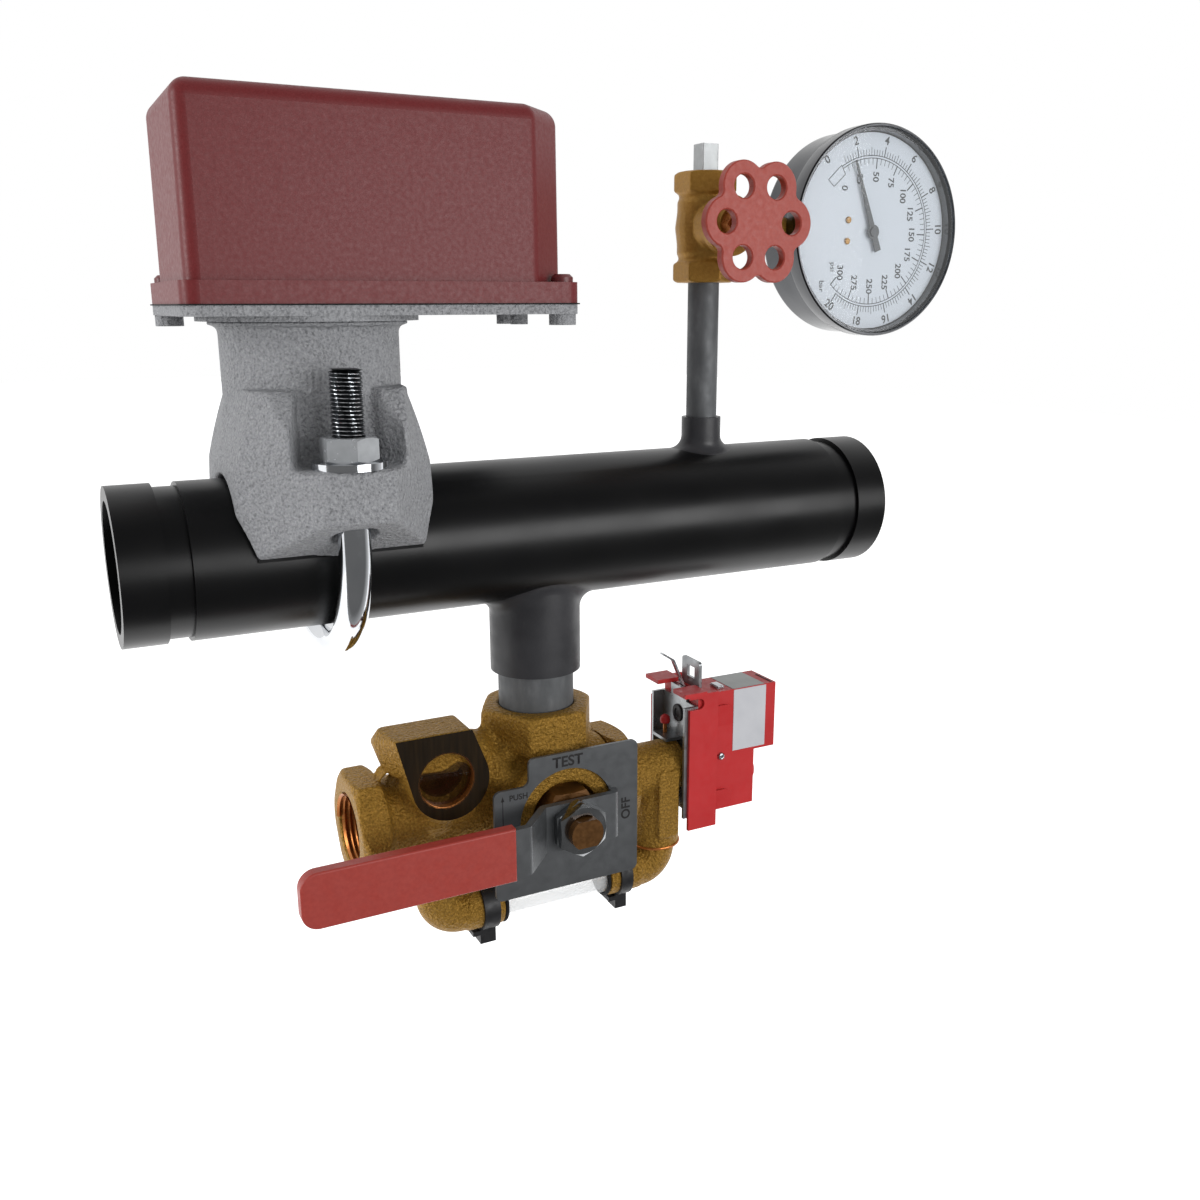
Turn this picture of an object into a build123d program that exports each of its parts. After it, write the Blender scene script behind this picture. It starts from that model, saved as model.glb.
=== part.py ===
from build123d import *
import math
import os

# Sprinkler floor control assembly, millimetres. +X runs along the riser pipe from its inlet end, +Z is up,
# and the origin is the centre of the inlet end's face.

# Riser pipe and its welded outlets
pipe_od = 60.3
pipe_wall = 5.5
pipe_length = 338.0
groove_lip = 15.88
groove_width = 8.74
groove_diameter = 57.15
drain_x = 169.0
gauge_x = 253.3
outlet_drop = 62.4
outlet_r = 19.9
outlet_weld = 7.0
gauge_outlet_rise = 43.7
gauge_outlet_r = 8.84
gauge_outlet_weld = 6.0
drain_nipple_r = 16.7
drain_way_r = 13.3
gauge_nipple_r = 6.85
gauge_way_r = 4.6
nipple_grip = 15.0

# General fits
running_fit = 0.05
free_gap = 0.3

# Flow switch on its saddle
switch_x = 78.0
switch_hole_r = 16.5
gasket_thickness = 1.35
neck_r = 33.3
neck_wall = 5.3
neck_top = 86.1
neck_flange_r = 37.1
neck_flange = 1.5
throat_r = 17.0
throat_top = 52.0
ear_reach = 59.0
ear_half_front = 13.0
ear_half_width = 35.5
ear_corner_y = 28.0
ear_top = 37.5
ear_nose_z = 19.0
ear_foot_z = 3.0
ear_foot_half = 31.0
ear_shoulder_z = 20.0
ramp_top = 64.0
pocket_half_back = 14.6
pocket_half_front = 27.0
bolt_r = 6.0
bolt_edge = 12.0
bolt_leg_y = ear_reach - bolt_edge
bolt_bend_z = 9.0
bolt_top = 72.0
bolt_slot = 17.0
washer_r = 13.6
washer_thickness = 2.5
nut_flats = 18.5
nut_height = 8.5
plate_tier_r = 41.0
plate_tier = 2.0
plate_thickness = 3.6
plate_left = 27.0
plate_right = 173.2
plate_half_width = 41.0
plate_corner_r = 6.0
gasket_sheet = 0.5
cover_flange = 7.7
cover_top = 164.3
cover_inset = 2.0
cover_wall = 2.5
cover_corner_r = 5.0
cover_edge_r = 6.0
cover_facet_x = 16.2
cover_facet_y = 14.5
cover_draft = 0.4
screw_inset = 5.6
screw_r = 2.0
screw_head_r = 4.2
screw_head = 3.0
lug_head_r = 5.2
lug_head = 4.1
small_head_r = 3.5

# Inside the flow switch
vane_r = 22.0
vane_thickness = 1.5
stem_r = 3.0
pivot_z = 44.0
pivot_r = 2.5
pivot_hub_r = 6.0
stem_top = 118.0
plunger_z = 112.0
plunger_travel = 11.9
plunger_r = 2.5
plunger_head_r = 4.0
plunger_head = 3.0
plunger_rod = 19.5
plunger_gap = 1.0
retard_r = 11.0
retard_length = 22.0
retard_floor = 3.0
frame_sheet = 1.5
frame_half_width = 21.5
frame_left = 34.0
frame_right = 104.0
frame_top = 126.0

# Gauge valve
valve_z = 125.2
hex_flats = 23.6
hex_height = 8.9
gauge_body_half = 23.0
barrel_r = 12.0
barrel_waist_r = 10.5
chamber_r = 7.0
seat_y = 1.0
seat_r = 3.0
seat_depth = 6.5
way_r = 2.6
way_back = 3.8
port_reach = 17.0
port_r = 10.0
bonnet_ring_r = 12.5
bonnet_ring_y = -21.0
bonnet_nose_y = -24.0
gland_flats = 13.0
gland_y = -30.0
spindle_r = 4.0
spindle_nose_r = 2.0
valve_lift = 4.6
disc_r = 5.5
disc_thickness = 5.0
wheel_front_y = -42.0
wheel_thickness = 3.8
wheel_hub_r = 7.0
wheel_hub_length = 3.2
wheel_lobe_r = 9.95
wheel_hole_circle = 15.8
wheel_hole_r = 4.65
wheel_blend_angle = 68.0
plug_square = 8.0
plug_top = 159.6

# Pressure gauge
dial_x = 339.2
case_r = 45.2
case_wall = 1.4
case_back_y = 15.3
bezel_r = 46.7
bezel_front_y = -14.0
bezel_lip_r = 44.2
bezel_skirt = 8.0
lens_thickness = 1.5
lens_front_y = -13.2
dial_r = 43.4
dial_front_y = -8.0
dial_thickness = 0.8
pointer_y = -10.0
pointer_thickness = 0.6
pointer_reach = 33.0
pointer_tail = 9.0
pointer_rest = 69.0
arbor_r = 1.2
socket_flats = 14.3
socket_r = 6.0
socket_block = 12.0
bourdon_r = 30.0
bourdon_span = 250.0
bourdon_y = 7.0

# Test-and-drain valve
stem_z = -122.3
body_r = 27.0
barrel_out_r = 20.0
inlet_top = -78.4
inlet_flats = 46.5
inlet_hex = 17.6
outlet_x = 81.0
outlet_hex = 13.0
outlet_flats = 46.2
outlet_thread_r = 15.6
outlet_thread = 17.0
ball_r = 17.5
ball_way_r = 12.0
test_orifice_r = 6.35
cavity_r = 18.2
cavity_left = 18.5
seat_outer_r = 17.9
seat_inner_x = 9.5
tail_hex_x = 31.0
tail_hex = 10.5
tail_flats = 46.0
tail_way_r = 9.0
tail_socket_r = 10.5
stem_boss_r = 26.0
stem_boss_y = -30.0
stem_recess_r = 15.5
stem_recess_y = -24.0
packing_r = 10.0
packing_y = -20.5
packing_flats = 25.6
packing_front_y = -36.0
valve_stem_r = 7.35
stem_flats = 12.0
stem_front_y = -51.2
sight_x = -51.7
sight_z = -98.0
sight_r = 11.9
sight_front_y = -24.0
sight_depth = 22.0
sight_boss_r = 17.1
sight_top = -77.6
sight_top_left = -73.0
sight_top_right = -40.0
glass_thickness = 5.0
glass_recess = 3.0
index_front_y = -31.5
index_thickness = 1.5
index_left = -34.0
index_right = 34.5
index_step_x = -18.0
index_top = -92.5
index_step_z = -104.6
index_bottom = -155.0
index_cut_r = 22.3
lever_front_y = -40.0
lever_thickness = 3.0
lever_width = 21.2
lever_tail_x = 21.8
lever_tail_y = -33.8
lever_bend_in = -14.8
lever_bend_out = -27.8
lever_handle_y = -54.0
lever_end = -119.5
sleeve_wall = 1.0
sleeve_right = -34.0
sleeve_end = -121.0
sleeve_corner_r = 7.0
lever_nut_flats = 21.0
lever_nut = 3.75

# Relief tee, loop and clear tube
tee_r = 12.5
tee_end = 74.5
tee_way_r = 4.5
branch_x = 61.5
branch_r = 12.0
branch_bottom = -160.0
loop_z = -172.0
loop_r = 9.7
loop_bend = 9.9
loop_way_r = 5.0
loop_left_x = -50.0
loop_top_z = -142.0
loop_seat_r = 8.5
socket_out_r = 10.3
left_socket_end = -21.0
right_socket_end = 33.0
socket_depth = 12.0
tube_r = 8.5
tube_wall = 1.5
seal_r = 0.9
clip_wall = 1.2
left_clip = (-31.5, -24.0)
right_clip = (38.0, 44.0)
clip_lug_bottom = -190.0
clip_lug_half = 4.0

# Relief unit
web_x = 74.5
channel_sheet = 1.5
channel_half = 15.4
channel_front = 68.7
channel_top = -89.5
channel_bottom = -145.0
shelf_z = -108.2
web_lip_z = -83.6
housing_left = 77.5
housing_right = 108.3
housing_top = -84.0
housing_bottom = -144.0
housing_far_y = 5.0
housing_block_right = 119.9
housing_block_bottom = -116.5
cheek_sheet = 1.6
cheek_left = 70.6
cheek_right = 86.1
cheek_bottom = -151.0
top_tab_z = -83.0
top_tab = 2.0
flush_x = 81.0
flush_sheet = 1.5
flush_half = 7.8
flush_top = -71.0
flush_foot = -98.0
flush_travel = 6.0
spring_end = (64.9, -66.1)
spring_bend = (71.0, -70.1)
spring_foot = (78.1, -86.4)
spring_sheet = 0.9
spring_width = 2.6
spring_eye_r = 0.9
spring_eye_lift = 1.1
poppet_r = 5.5
poppet_head = 3.0
poppet_stem_r = 2.0
poppet_travel = 3.0
knob_y = -5.0
knob_z = -130.3
knob_r = 7.2
knob_front = 112.7
knob_length = 7.2
knob_travel = 2.5

# Worked out from the above
pipe_r = pipe_od / 2
pipe_bore_r = pipe_r - pipe_wall
plate_bottom = neck_top + neck_flange + plate_tier
plate_top = plate_bottom + plate_thickness
cover_bottom = plate_top + gasket_sheet
valve_top = valve_z + gauge_body_half
valve_bottom = valve_z - gauge_body_half
centre = (drain_x, 0, stem_z)


def along(start, direction, x_dir=None):
    """Workplane at a point, whose normal is the given direction."""
    return Plane(origin=start, x_dir=x_dir, z_dir=direction)


def rod(start, direction, length, radius):
    """Round rod from a point along a direction."""
    return Solid.make_cylinder(radius, length, along(start, direction))


def tube(start, direction, length, outer, inner):
    """Round tube from a point along a direction."""
    return rod(start, direction, length, outer) - rod(start, direction, length, inner)


def block(low, high):
    """Rectangular block between two opposite corners."""
    size = [high[i] - low[i] for i in range(3)]
    return Pos(*low) * Solid.make_box(*size)


def turned(start, direction, profile):
    """Turned piece: its profile is (radius, height) points, closed on themselves."""
    outline = Polyline(*[(radius, 0, height) for radius, height in profile], close=True)
    return along(start, direction).location * revolve(make_face(outline), Axis.Z)


def hex_bar(start, direction, length, flats, facing, chamfer=(True, True)):
    """Hexagon bar whose flats face a given direction, with its ends' corners turned off."""
    normal = Vector(*direction)
    plane = along(start, direction, Vector(*facing).cross(normal))
    bar = extrude(plane * RegularPolygon(flats / 2, 6, major_radius=False), length)
    corner = flats / math.sqrt(3)
    crown = (corner - flats / 2) * 0.58
    profile = [(0, 0)]
    profile += [(flats / 2, 0), (corner, crown)] if chamfer[0] else [(corner, 0)]
    profile += [(corner, length - crown), (flats / 2, length)] if chamfer[1] else [(corner, length)]
    profile += [(0, length)]
    return bar & turned(start, direction, profile)


def valve_point(x, y, z):
    """Point given from the drain valve's own axis along the pipe."""
    return (drain_x + x, y, z)


def save(node, shape):
    """Write one node: a single solid, or a group of like solids."""
    solids = shape.solids()
    result = solids[0] if len(solids) == 1 else Compound(children=list(solids))
    result.label = node
    export_step(result, f"parts/{node}.step")


def riser_pipe():
    """Steel pipe with a roll groove near each end and three branch holes."""
    shape = tube((0, 0, 0), (1, 0, 0), pipe_length, pipe_r, pipe_bore_r)
    for start in (groove_lip, pipe_length - groove_lip - groove_width):
        shape -= tube((start, 0, 0), (1, 0, 0), groove_width, pipe_r + 1, groove_diameter / 2)
    shape -= rod((drain_x, 0, 0), (0, 0, -1), pipe_od, drain_way_r)
    shape -= rod((gauge_x, 0, 0), (0, 0, 1), pipe_od, gauge_way_r)
    shape -= rod((switch_x, 0, 0), (0, 0, 1), pipe_od, switch_hole_r)
    return shape


def welded_outlet(x, up, reach, outer, weld, nipple_r, way_r):
    """Coupling shaped to the pipe, with its weld bead as a fillet."""
    run_start = (x - 2 * pipe_od, 0, 0)
    run = rod(run_start, (1, 0, 0), 4 * pipe_od, pipe_r)
    blank = run + rod((x, 0, 0), (0, 0, up), reach, outer)
    seam = [edge for edge in blank.edges() if edge.geom_type not in (GeomType.CIRCLE, GeomType.LINE)]
    shape = fillet(seam, weld) - run
    shape -= rod((x, 0, 0), (0, 0, up), reach, way_r)
    shape -= rod((x, 0, up * reach), (0, 0, -up), nipple_grip, nipple_r)
    return shape


def saddle_casting():
    """Cast saddle: neck, two eared feet with nut pockets, and the seat on the pipe."""
    full = 2 * ear_reach
    plan = Polyline((-ear_half_front, -ear_reach), (ear_half_front, -ear_reach),
                    (ear_half_width, -ear_corner_y), (ear_half_width, ear_corner_y),
                    (ear_half_front, ear_reach), (-ear_half_front, ear_reach),
                    (-ear_half_width, ear_corner_y), (-ear_half_width, -ear_corner_y), close=True)
    foot = extrude(Pos(0, 0, ear_foot_z) * make_face(plan), ramp_top - ear_foot_z)
    side = Polyline((-ear_reach, ear_nose_z), (-pipe_r, ear_foot_z), (pipe_r, ear_foot_z),
                    (ear_reach, ear_nose_z), (ear_reach, ear_top), (neck_r, ramp_top),
                    (-neck_r, ramp_top), (-ear_reach, ear_top), close=True)
    foot &= extrude(Plane.YZ * make_face(side), full / 2, both=True)
    front = Polyline((-ear_foot_half, ear_foot_z), (ear_foot_half, ear_foot_z),
                     (ear_half_width, ear_shoulder_z), (ear_half_width, ramp_top),
                     (-ear_half_width, ramp_top), (-ear_half_width, ear_shoulder_z), close=True)
    foot &= extrude(Plane.XZ * make_face(front), full / 2, both=True)
    neck = rod((0, 0, 0), (0, 0, 1), neck_top, neck_r)
    for side_sign in (-1, 1):
        pocket = Polyline((-pocket_half_back, 0), (pocket_half_back, 0), (pocket_half_back, neck_r),
                          (pocket_half_front, ear_reach + 1), (-pocket_half_front, ear_reach + 1),
                          (-pocket_half_back, neck_r), close=True)
        room = extrude(Pos(0, 0, ear_top) * make_face(pocket), ramp_top)
        room -= neck
        if side_sign < 0:
            room = room.mirror(Plane.XZ)
        foot -= room
    shape = foot + neck + rod((0, 0, neck_top), (0, 0, 1), neck_flange, neck_flange_r)
    shape -= rod((-full, 0, 0), (1, 0, 0), 2 * full, pipe_r + gasket_thickness)
    shape -= rod((0, 0, 0), (0, 0, 1), throat_top, throat_r)
    shape -= rod((0, 0, throat_top), (0, 0, 1), neck_top, neck_r - neck_wall)
    shape -= rod((0, -pivot_pin_half(), pivot_z), (0, 1, 0), 2 * pivot_pin_half(), pivot_r)
    for y in (-bolt_leg_y, bolt_leg_y):
        slot = SlotOverall(bolt_slot, 2 * bolt_r + 1)
        shape -= extrude(Pos(0, y, 0) * slot, ear_top + 1)
    keep_above = block((-full, -full, ear_foot_z), (full, full, cover_top))
    return Pos(switch_x, 0, 0) * (shape & keep_above)


def pivot_pin_half():
    """Half the pivot pin's length: across the throat and into both its walls."""
    return throat_r + neck_wall


def saddle_gasket():
    """Rubber sheet wrapped over the pipe under the saddle."""
    half = ear_foot_half
    sheet = tube((switch_x - half, 0, 0), (1, 0, 0), 2 * half, pipe_r + gasket_thickness, pipe_r)
    sheet &= block((switch_x - half, -pipe_od, ear_foot_z), (switch_x + half, pipe_od, pipe_od))
    return sheet - rod((switch_x, 0, 0), (0, 0, 1), pipe_od, throat_r)


def u_bolt():
    """Round bar bent under the pipe, with both legs up through the saddle's ears."""
    legs = bolt_top - bolt_bend_z
    left = Line((0, -bolt_leg_y, bolt_top), (0, -bolt_leg_y, bolt_bend_z))
    bend = ThreePointArc((0, -bolt_leg_y, bolt_bend_z), (0, 0, bolt_bend_z - bolt_leg_y),
                         (0, bolt_leg_y, bolt_bend_z))
    right = Line((0, bolt_leg_y, bolt_bend_z), (0, bolt_leg_y, bolt_bend_z + legs))
    section = Plane(origin=(0, -bolt_leg_y, bolt_top), z_dir=(0, 0, -1)) * Circle(bolt_r)
    return Pos(switch_x, 0, 0) * sweep(section, Wire([left, bend, right]))


def at_both_legs(make):
    """The same piece on each leg of the U-bolt."""
    return Compound(children=[make(-bolt_leg_y), make(bolt_leg_y)])


def u_bolt_washer(y):
    """Flat washer on the floor of a nut pocket."""
    return tube((switch_x, y, ear_top), (0, 0, 1), washer_thickness, washer_r, bolt_r + free_gap)


def u_bolt_nut(y):
    """Hexagon nut on its washer."""
    start = (switch_x, y, ear_top + washer_thickness)
    nut = hex_bar(start, (0, 0, 1), nut_height, nut_flats, (1, 0, 0))
    return nut - rod(start, (0, 0, 1), nut_height, bolt_r)


def plate_blank(inset, bottom, height):
    """Rounded rectangle of the switch's plan, stepped in from its edge."""
    length = plate_right - plate_left - 2 * inset
    width = 2 * (plate_half_width - inset)
    sketch = RectangleRounded(length, width, plate_corner_r)
    return extrude(Pos((plate_left + plate_right) / 2, 0, bottom) * sketch, height)


def cover_screw_places():
    """The two cover screws stand at opposite corners."""
    y = plate_half_width - screw_inset - 0.9
    return [(plate_right - screw_inset, -y), (plate_left + screw_inset, y)]


def small_screw_places():
    """The terminal block's two screws, near the plate's right end."""
    return [(drain_x - 9, -10), (drain_x - 9, 4.5)]


def stem_window(bottom, height):
    """Slot that the vane's stem swings in."""
    left = switch_x - plunger_travel - stem_r - 1
    right = switch_x + stem_r + 2
    return block((left, -5, bottom), (right, 5, bottom + height))


def switch_base_plate():
    """Cast plate with a round tier that seats on the saddle's flange."""
    shape = plate_blank(0, plate_bottom, plate_thickness)
    shape += rod((switch_x, 0, plate_bottom - plate_tier), (0, 0, 1), plate_tier, plate_tier_r)
    shape -= stem_window(plate_bottom - plate_tier, plate_tier + plate_thickness)
    for x, y in cover_screw_places() + small_screw_places():
        shape -= rod((x, y, plate_bottom), (0, 0, 1), plate_thickness, screw_r + running_fit)
    return shape


def cover_outline(inset):
    """Plan of the cover's body: a rounded rectangle with two opposite corners faceted."""
    left = plate_left + inset
    right = plate_right - inset
    half = plate_half_width - inset
    corner = Polyline((left, -half), (right - cover_facet_x, -half), (right, -half + cover_facet_y),
                      (right, half), (left + cover_facet_x, half), (left, half - cover_facet_y),
                      close=True)
    outline = make_face(corner)
    return fillet(outline.vertices(), cover_corner_r)


def switch_cover():
    """Deep-drawn cover: a straight skirt on the plate and a drafted body with rounded top edges."""
    body_bottom = cover_bottom + cover_flange
    outer = extrude(Pos(0, 0, body_bottom) * cover_outline(cover_inset), cover_top - body_bottom,
                    taper=cover_draft)
    outer = fillet(outer.edges().group_by(Axis.Z)[-1], cover_edge_r)
    inner = extrude(Pos(0, 0, cover_bottom) * cover_outline(cover_inset + cover_wall),
                    cover_top - cover_wall - cover_bottom, taper=cover_draft)
    inner = fillet(inner.edges().group_by(Axis.Z)[-1], cover_edge_r - cover_wall)
    shape = outer + plate_blank(0, cover_bottom, cover_flange) - inner
    for x, y in cover_screw_places():
        shape -= rod((x, y, cover_bottom), (0, 0, 1), cover_flange, screw_r + running_fit)
    return shape


def cover_gasket():
    """Thin black sheet between cover and plate; its edge stands out a little."""
    shape = plate_blank(-0.7, plate_top, gasket_sheet)
    shape -= extrude(Pos(0, 0, plate_top) * cover_outline(cover_inset + cover_wall), gasket_sheet)
    for x, y in cover_screw_places():
        shape -= rod((x, y, plate_top), (0, 0, 1), gasket_sheet, screw_r + running_fit)
    return shape


def cover_screws():
    """Two long screws through the cover's skirt and the plate, into round nuts below."""
    seat = cover_bottom + cover_flange
    foot = plate_bottom - lug_head + 1
    screws = []
    for x, y in cover_screw_places():
        profile = [(0, foot), (screw_r, foot), (screw_r, seat), (screw_head_r, seat),
                   (screw_head_r, seat + screw_head * 0.6), (screw_head_r * 0.7, seat + screw_head),
                   (0, seat + screw_head)]
        screws.append(turned((x, y, 0), (0, 0, 1), profile))
    return Compound(children=screws)


def base_plate_bolts():
    """Round nuts for the cover screws and two small screws, all under the plate."""
    pieces = []
    for x, y in cover_screw_places():
        nut = rod((x, y, plate_bottom - lug_head), (0, 0, 1), lug_head, lug_head_r)
        nut -= rod((x, y, plate_bottom - lug_head + 1), (0, 0, 1), lug_head, screw_r + running_fit)
        pieces.append(nut)
    for x, y in small_screw_places():
        head = rod((x, y, plate_bottom - lug_head), (0, 0, 1), lug_head, small_head_r)
        pieces.append(head + rod((x, y, plate_bottom - 1), (0, 0, 1), plate_thickness, screw_r))
    return Compound(children=pieces)


def flow_vane():
    """Round paddle across the pipe's bore, with a boss for the stem."""
    disc = rod((-vane_thickness / 2, 0, 0), (1, 0, 0), vane_thickness, vane_r)
    boss = rod((0, 0, 6), (0, 0, 1), 18, stem_r + 2.5)
    return Pos(switch_x, 0, 0) * (disc + boss - rod((0, 0, 12), (0, 0, 1), vane_r, stem_r))


def vane_stem():
    """Brass stem from the paddle up into the cover, on its pivot hub."""
    shape = rod((0, 0, 12), (0, 0, 1), stem_top - 12, stem_r)
    hub_half = throat_r / 2
    shape += rod((0, -hub_half, pivot_z), (0, 1, 0), 2 * hub_half, pivot_hub_r)
    shape -= rod((0, -hub_half, pivot_z), (0, 1, 0), 2 * hub_half, pivot_r + running_fit)
    return Pos(switch_x, 0, 0) * shape


def vane_pivot_pin():
    """Pin across the saddle's throat."""
    half = pivot_pin_half()
    return rod((switch_x, -half, pivot_z), (0, 1, 0), 2 * half, pivot_r)


def switch_frame():
    """Folded sheet channel that stands on the plate inside the cover."""
    outer = block((frame_left, -frame_half_width, plate_top),
                  (frame_right, frame_half_width, frame_top))
    inner_half = frame_half_width - frame_sheet
    outer -= block((frame_left, -inner_half, plate_top + frame_sheet),
                   (frame_right, inner_half, frame_top))
    outer -= stem_window(plate_top, frame_sheet)
    cut = extrude(Plane.XZ * Pos(frame_right - 6, frame_top) * Circle(12), frame_half_width, both=True)
    return outer - cut


def retard_unit():
    """Air-delay dashpot: a round body with a mounting flange and a bore for its plunger."""
    left = frame_left + 2
    shape = rod((left, 0, plunger_z), (1, 0, 0), retard_length, retard_r)
    inner_half = frame_half_width - frame_sheet
    shape += block((left, -inner_half, plunger_z - 9), (left + 4, inner_half, plunger_z + 9))
    bore = retard_length - retard_floor
    return shape - rod((left + retard_floor, 0, plunger_z), (1, 0, 0), bore, plunger_r + running_fit)


def retard_plunger():
    """Plunger that the top of the vane's stem pushes."""
    head_right = switch_x - stem_r - plunger_gap
    head_left = head_right - plunger_head
    shape = rod((head_left, 0, plunger_z), (1, 0, 0), plunger_head, plunger_head_r)
    return shape + rod((head_left, 0, plunger_z), (-1, 0, 0), plunger_rod, plunger_r)


def snap_switches():
    """Two snap switches on the frame's walls, each with three terminals."""
    inner_half = frame_half_width - frame_sheet
    left = switch_x - 14
    pieces = []
    for side_sign in (-1, 1):
        body = block((left, inner_half - 10, 98), (left + 28, inner_half, 114))
        body = fillet(body.edges().filter_by(Axis.Y), 1.2)
        for step in range(3):
            body += block((left + 3 + 9 * step, inner_half - 7, 114), (left + 6 + 9 * step, inner_half - 3, 119))
        pieces.append(body if side_sign > 0 else body.mirror(Plane.XZ))
    return Compound(children=pieces)


def gauge_valve_body():
    """Angle globe body: two hexagon ends, a barrel, a bonnet neck and a side port."""
    base = (gauge_x, 0, valve_bottom)
    shape = hex_bar(base, (0, 0, 1), hex_height, hex_flats, (1, 0, 0))
    shape += hex_bar((gauge_x, 0, valve_top - hex_height), (0, 0, 1), hex_height, hex_flats, (1, 0, 0))
    waist = hex_height + 3.5
    length = 2 * gauge_body_half
    profile = [(0, 1), (barrel_waist_r, 1), (barrel_waist_r, hex_height), (barrel_r, waist),
               (barrel_r, length - waist), (barrel_waist_r, length - hex_height),
               (barrel_waist_r, length - 1), (0, length - 1)]
    shape += turned(base, (0, 0, 1), profile)
    shape += rod((gauge_x, 0, valve_z), (0, -1, 0), barrel_r + 3, barrel_waist_r)
    shape += rod((gauge_x, 0, valve_z), (1, 0, 0), port_reach, port_r)
    shape -= rod(base, (0, 0, 1), hex_height, gauge_nipple_r)
    shape -= rod((gauge_x, seat_y + way_back, valve_bottom + hex_height), (0, 0, 1),
                 gauge_body_half - hex_height, way_r)
    shape -= rod((gauge_x, seat_y + seat_depth, valve_z), (0, -1, 0), seat_depth, seat_r)
    shape -= rod((gauge_x, seat_y, valve_z), (0, -1, 0), barrel_r + 6, chamber_r)
    shape -= rod((gauge_x, seat_y - way_back, valve_z), (0, 0, 1), gauge_body_half, way_r)
    shape -= rod((gauge_x, 0, valve_top - hex_height), (0, 0, 1), hex_height, gauge_nipple_r)
    shape -= rod((gauge_x, seat_y - way_back, valve_z), (1, 0, 0), port_reach, way_r)
    shape -= rod((gauge_x + port_reach, 0, valve_z), (-1, 0, 0), 9, gauge_nipple_r)
    return shape


def bonnet_seat_y():
    """Where the bonnet meets the body's neck."""
    return -(barrel_r + 3)


def gauge_valve_bonnet():
    """Turned bonnet that screws onto the neck, with a cone, a ring and a nose."""
    seat = -bonnet_seat_y()
    ring = -bonnet_ring_y
    nose = -bonnet_nose_y
    bore = spindle_r + running_fit
    profile = [(bore, seat), (barrel_waist_r - 0.3, seat), (bonnet_ring_r, seat + 2.5),
               (bonnet_ring_r, ring), (barrel_waist_r - 2, ring + 0.8), (barrel_waist_r - 3, nose),
               (bore, nose)]
    return turned((gauge_x, 0, valve_z), (0, -1, 0), profile)


def gauge_valve_gland():
    """Small hexagon packing nut on the bonnet's nose."""
    start = (gauge_x, bonnet_nose_y, valve_z)
    length = bonnet_nose_y - gland_y
    nut = hex_bar(start, (0, -1, 0), length, gland_flats, (0, 0, 1))
    return nut - rod(start, (0, -1, 0), length, spindle_r + running_fit)


def disc_front_y():
    """Front of the closing disc when the valve is open."""
    return seat_y - valve_lift - 0.05


def gauge_valve_disc():
    """Closing disc that swivels on the spindle's nose."""
    start = (gauge_x, disc_front_y(), valve_z)
    shape = rod(start, (0, -1, 0), disc_thickness, disc_r)
    socket = (gauge_x, disc_front_y() - disc_thickness, valve_z)
    return shape - rod(socket, (0, 1, 0), disc_thickness - 1, spindle_nose_r + running_fit)


def gauge_valve_stem():
    """Spindle from the closing disc to the handwheel."""
    back = disc_front_y() - disc_thickness
    length = back - running_fit - wheel_front_y - 0.5
    shape = rod((gauge_x, back - running_fit, valve_z), (0, -1, 0), length, spindle_r)
    return shape + rod((gauge_x, back - running_fit, valve_z), (0, 1, 0), disc_thickness - 1.3, spindle_nose_r)


def lobed_outline():
    """Six round lobes, each a circle about its hole, joined by short hollow arcs."""
    blend = math.radians(wheel_blend_angle)
    x = wheel_hole_circle + wheel_lobe_r * math.cos(blend)
    y = wheel_lobe_r * math.sin(blend)
    shoulder_r = math.hypot(x, y)
    shoulder = math.degrees(math.atan2(y, x))
    hollow = 30 - shoulder
    half_chord = shoulder_r * math.sin(math.radians(hollow))
    sagitta = half_chord * math.tan((blend - math.radians(30)) / 2)
    valley_r = shoulder_r * math.cos(math.radians(hollow)) - sagitta
    arcs = []
    for step in range(6):
        middle = 60 * step
        start = polar(shoulder_r, middle - shoulder)
        end = polar(shoulder_r, middle + shoulder)
        after = polar(shoulder_r, middle + 60 - shoulder)
        arcs.append(ThreePointArc(start, polar(wheel_hole_circle + wheel_lobe_r, middle), end))
        arcs.append(ThreePointArc(end, polar(valley_r, middle + 30), after))
    return make_face(Wire(arcs))


def polar(radius, degrees):
    """Plane point at a radius and an angle."""
    return (radius * math.cos(math.radians(degrees)), radius * math.sin(math.radians(degrees)))


def handwheel():
    """Six-lobed flat wheel with six holes and a hub behind."""
    lobes = lobed_outline() - PolarLocations(wheel_hole_circle, 6) * Circle(wheel_hole_r)
    back = (gauge_x, wheel_front_y + wheel_thickness, valve_z)
    face = Plane(origin=back, x_dir=(1, 0, 0), z_dir=(0, -1, 0))
    shape = extrude(face * lobes, wheel_thickness)
    shape = chamfer(shape.edges().group_by(Axis.Y)[0], 0.5)
    shape += rod(back, (0, 1, 0), wheel_hub_length, wheel_hub_r)
    bore = wheel_thickness + wheel_hub_length - 0.5
    return shape - rod((gauge_x, wheel_front_y + 0.5, valve_z), (0, 1, 0), bore, spindle_r)


def test_port_plug():
    """Square-headed plug in the valve's top end."""
    low = valve_top - hex_height + 1
    shape = rod((gauge_x, 0, low), (0, 0, 1), hex_height - 1, gauge_nipple_r)
    sketch = RectangleRounded(plug_square, plug_square, 0.6)
    return shape + extrude(Pos(gauge_x, 0, valve_top - 1) * sketch, plug_top - valve_top + 1)


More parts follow.
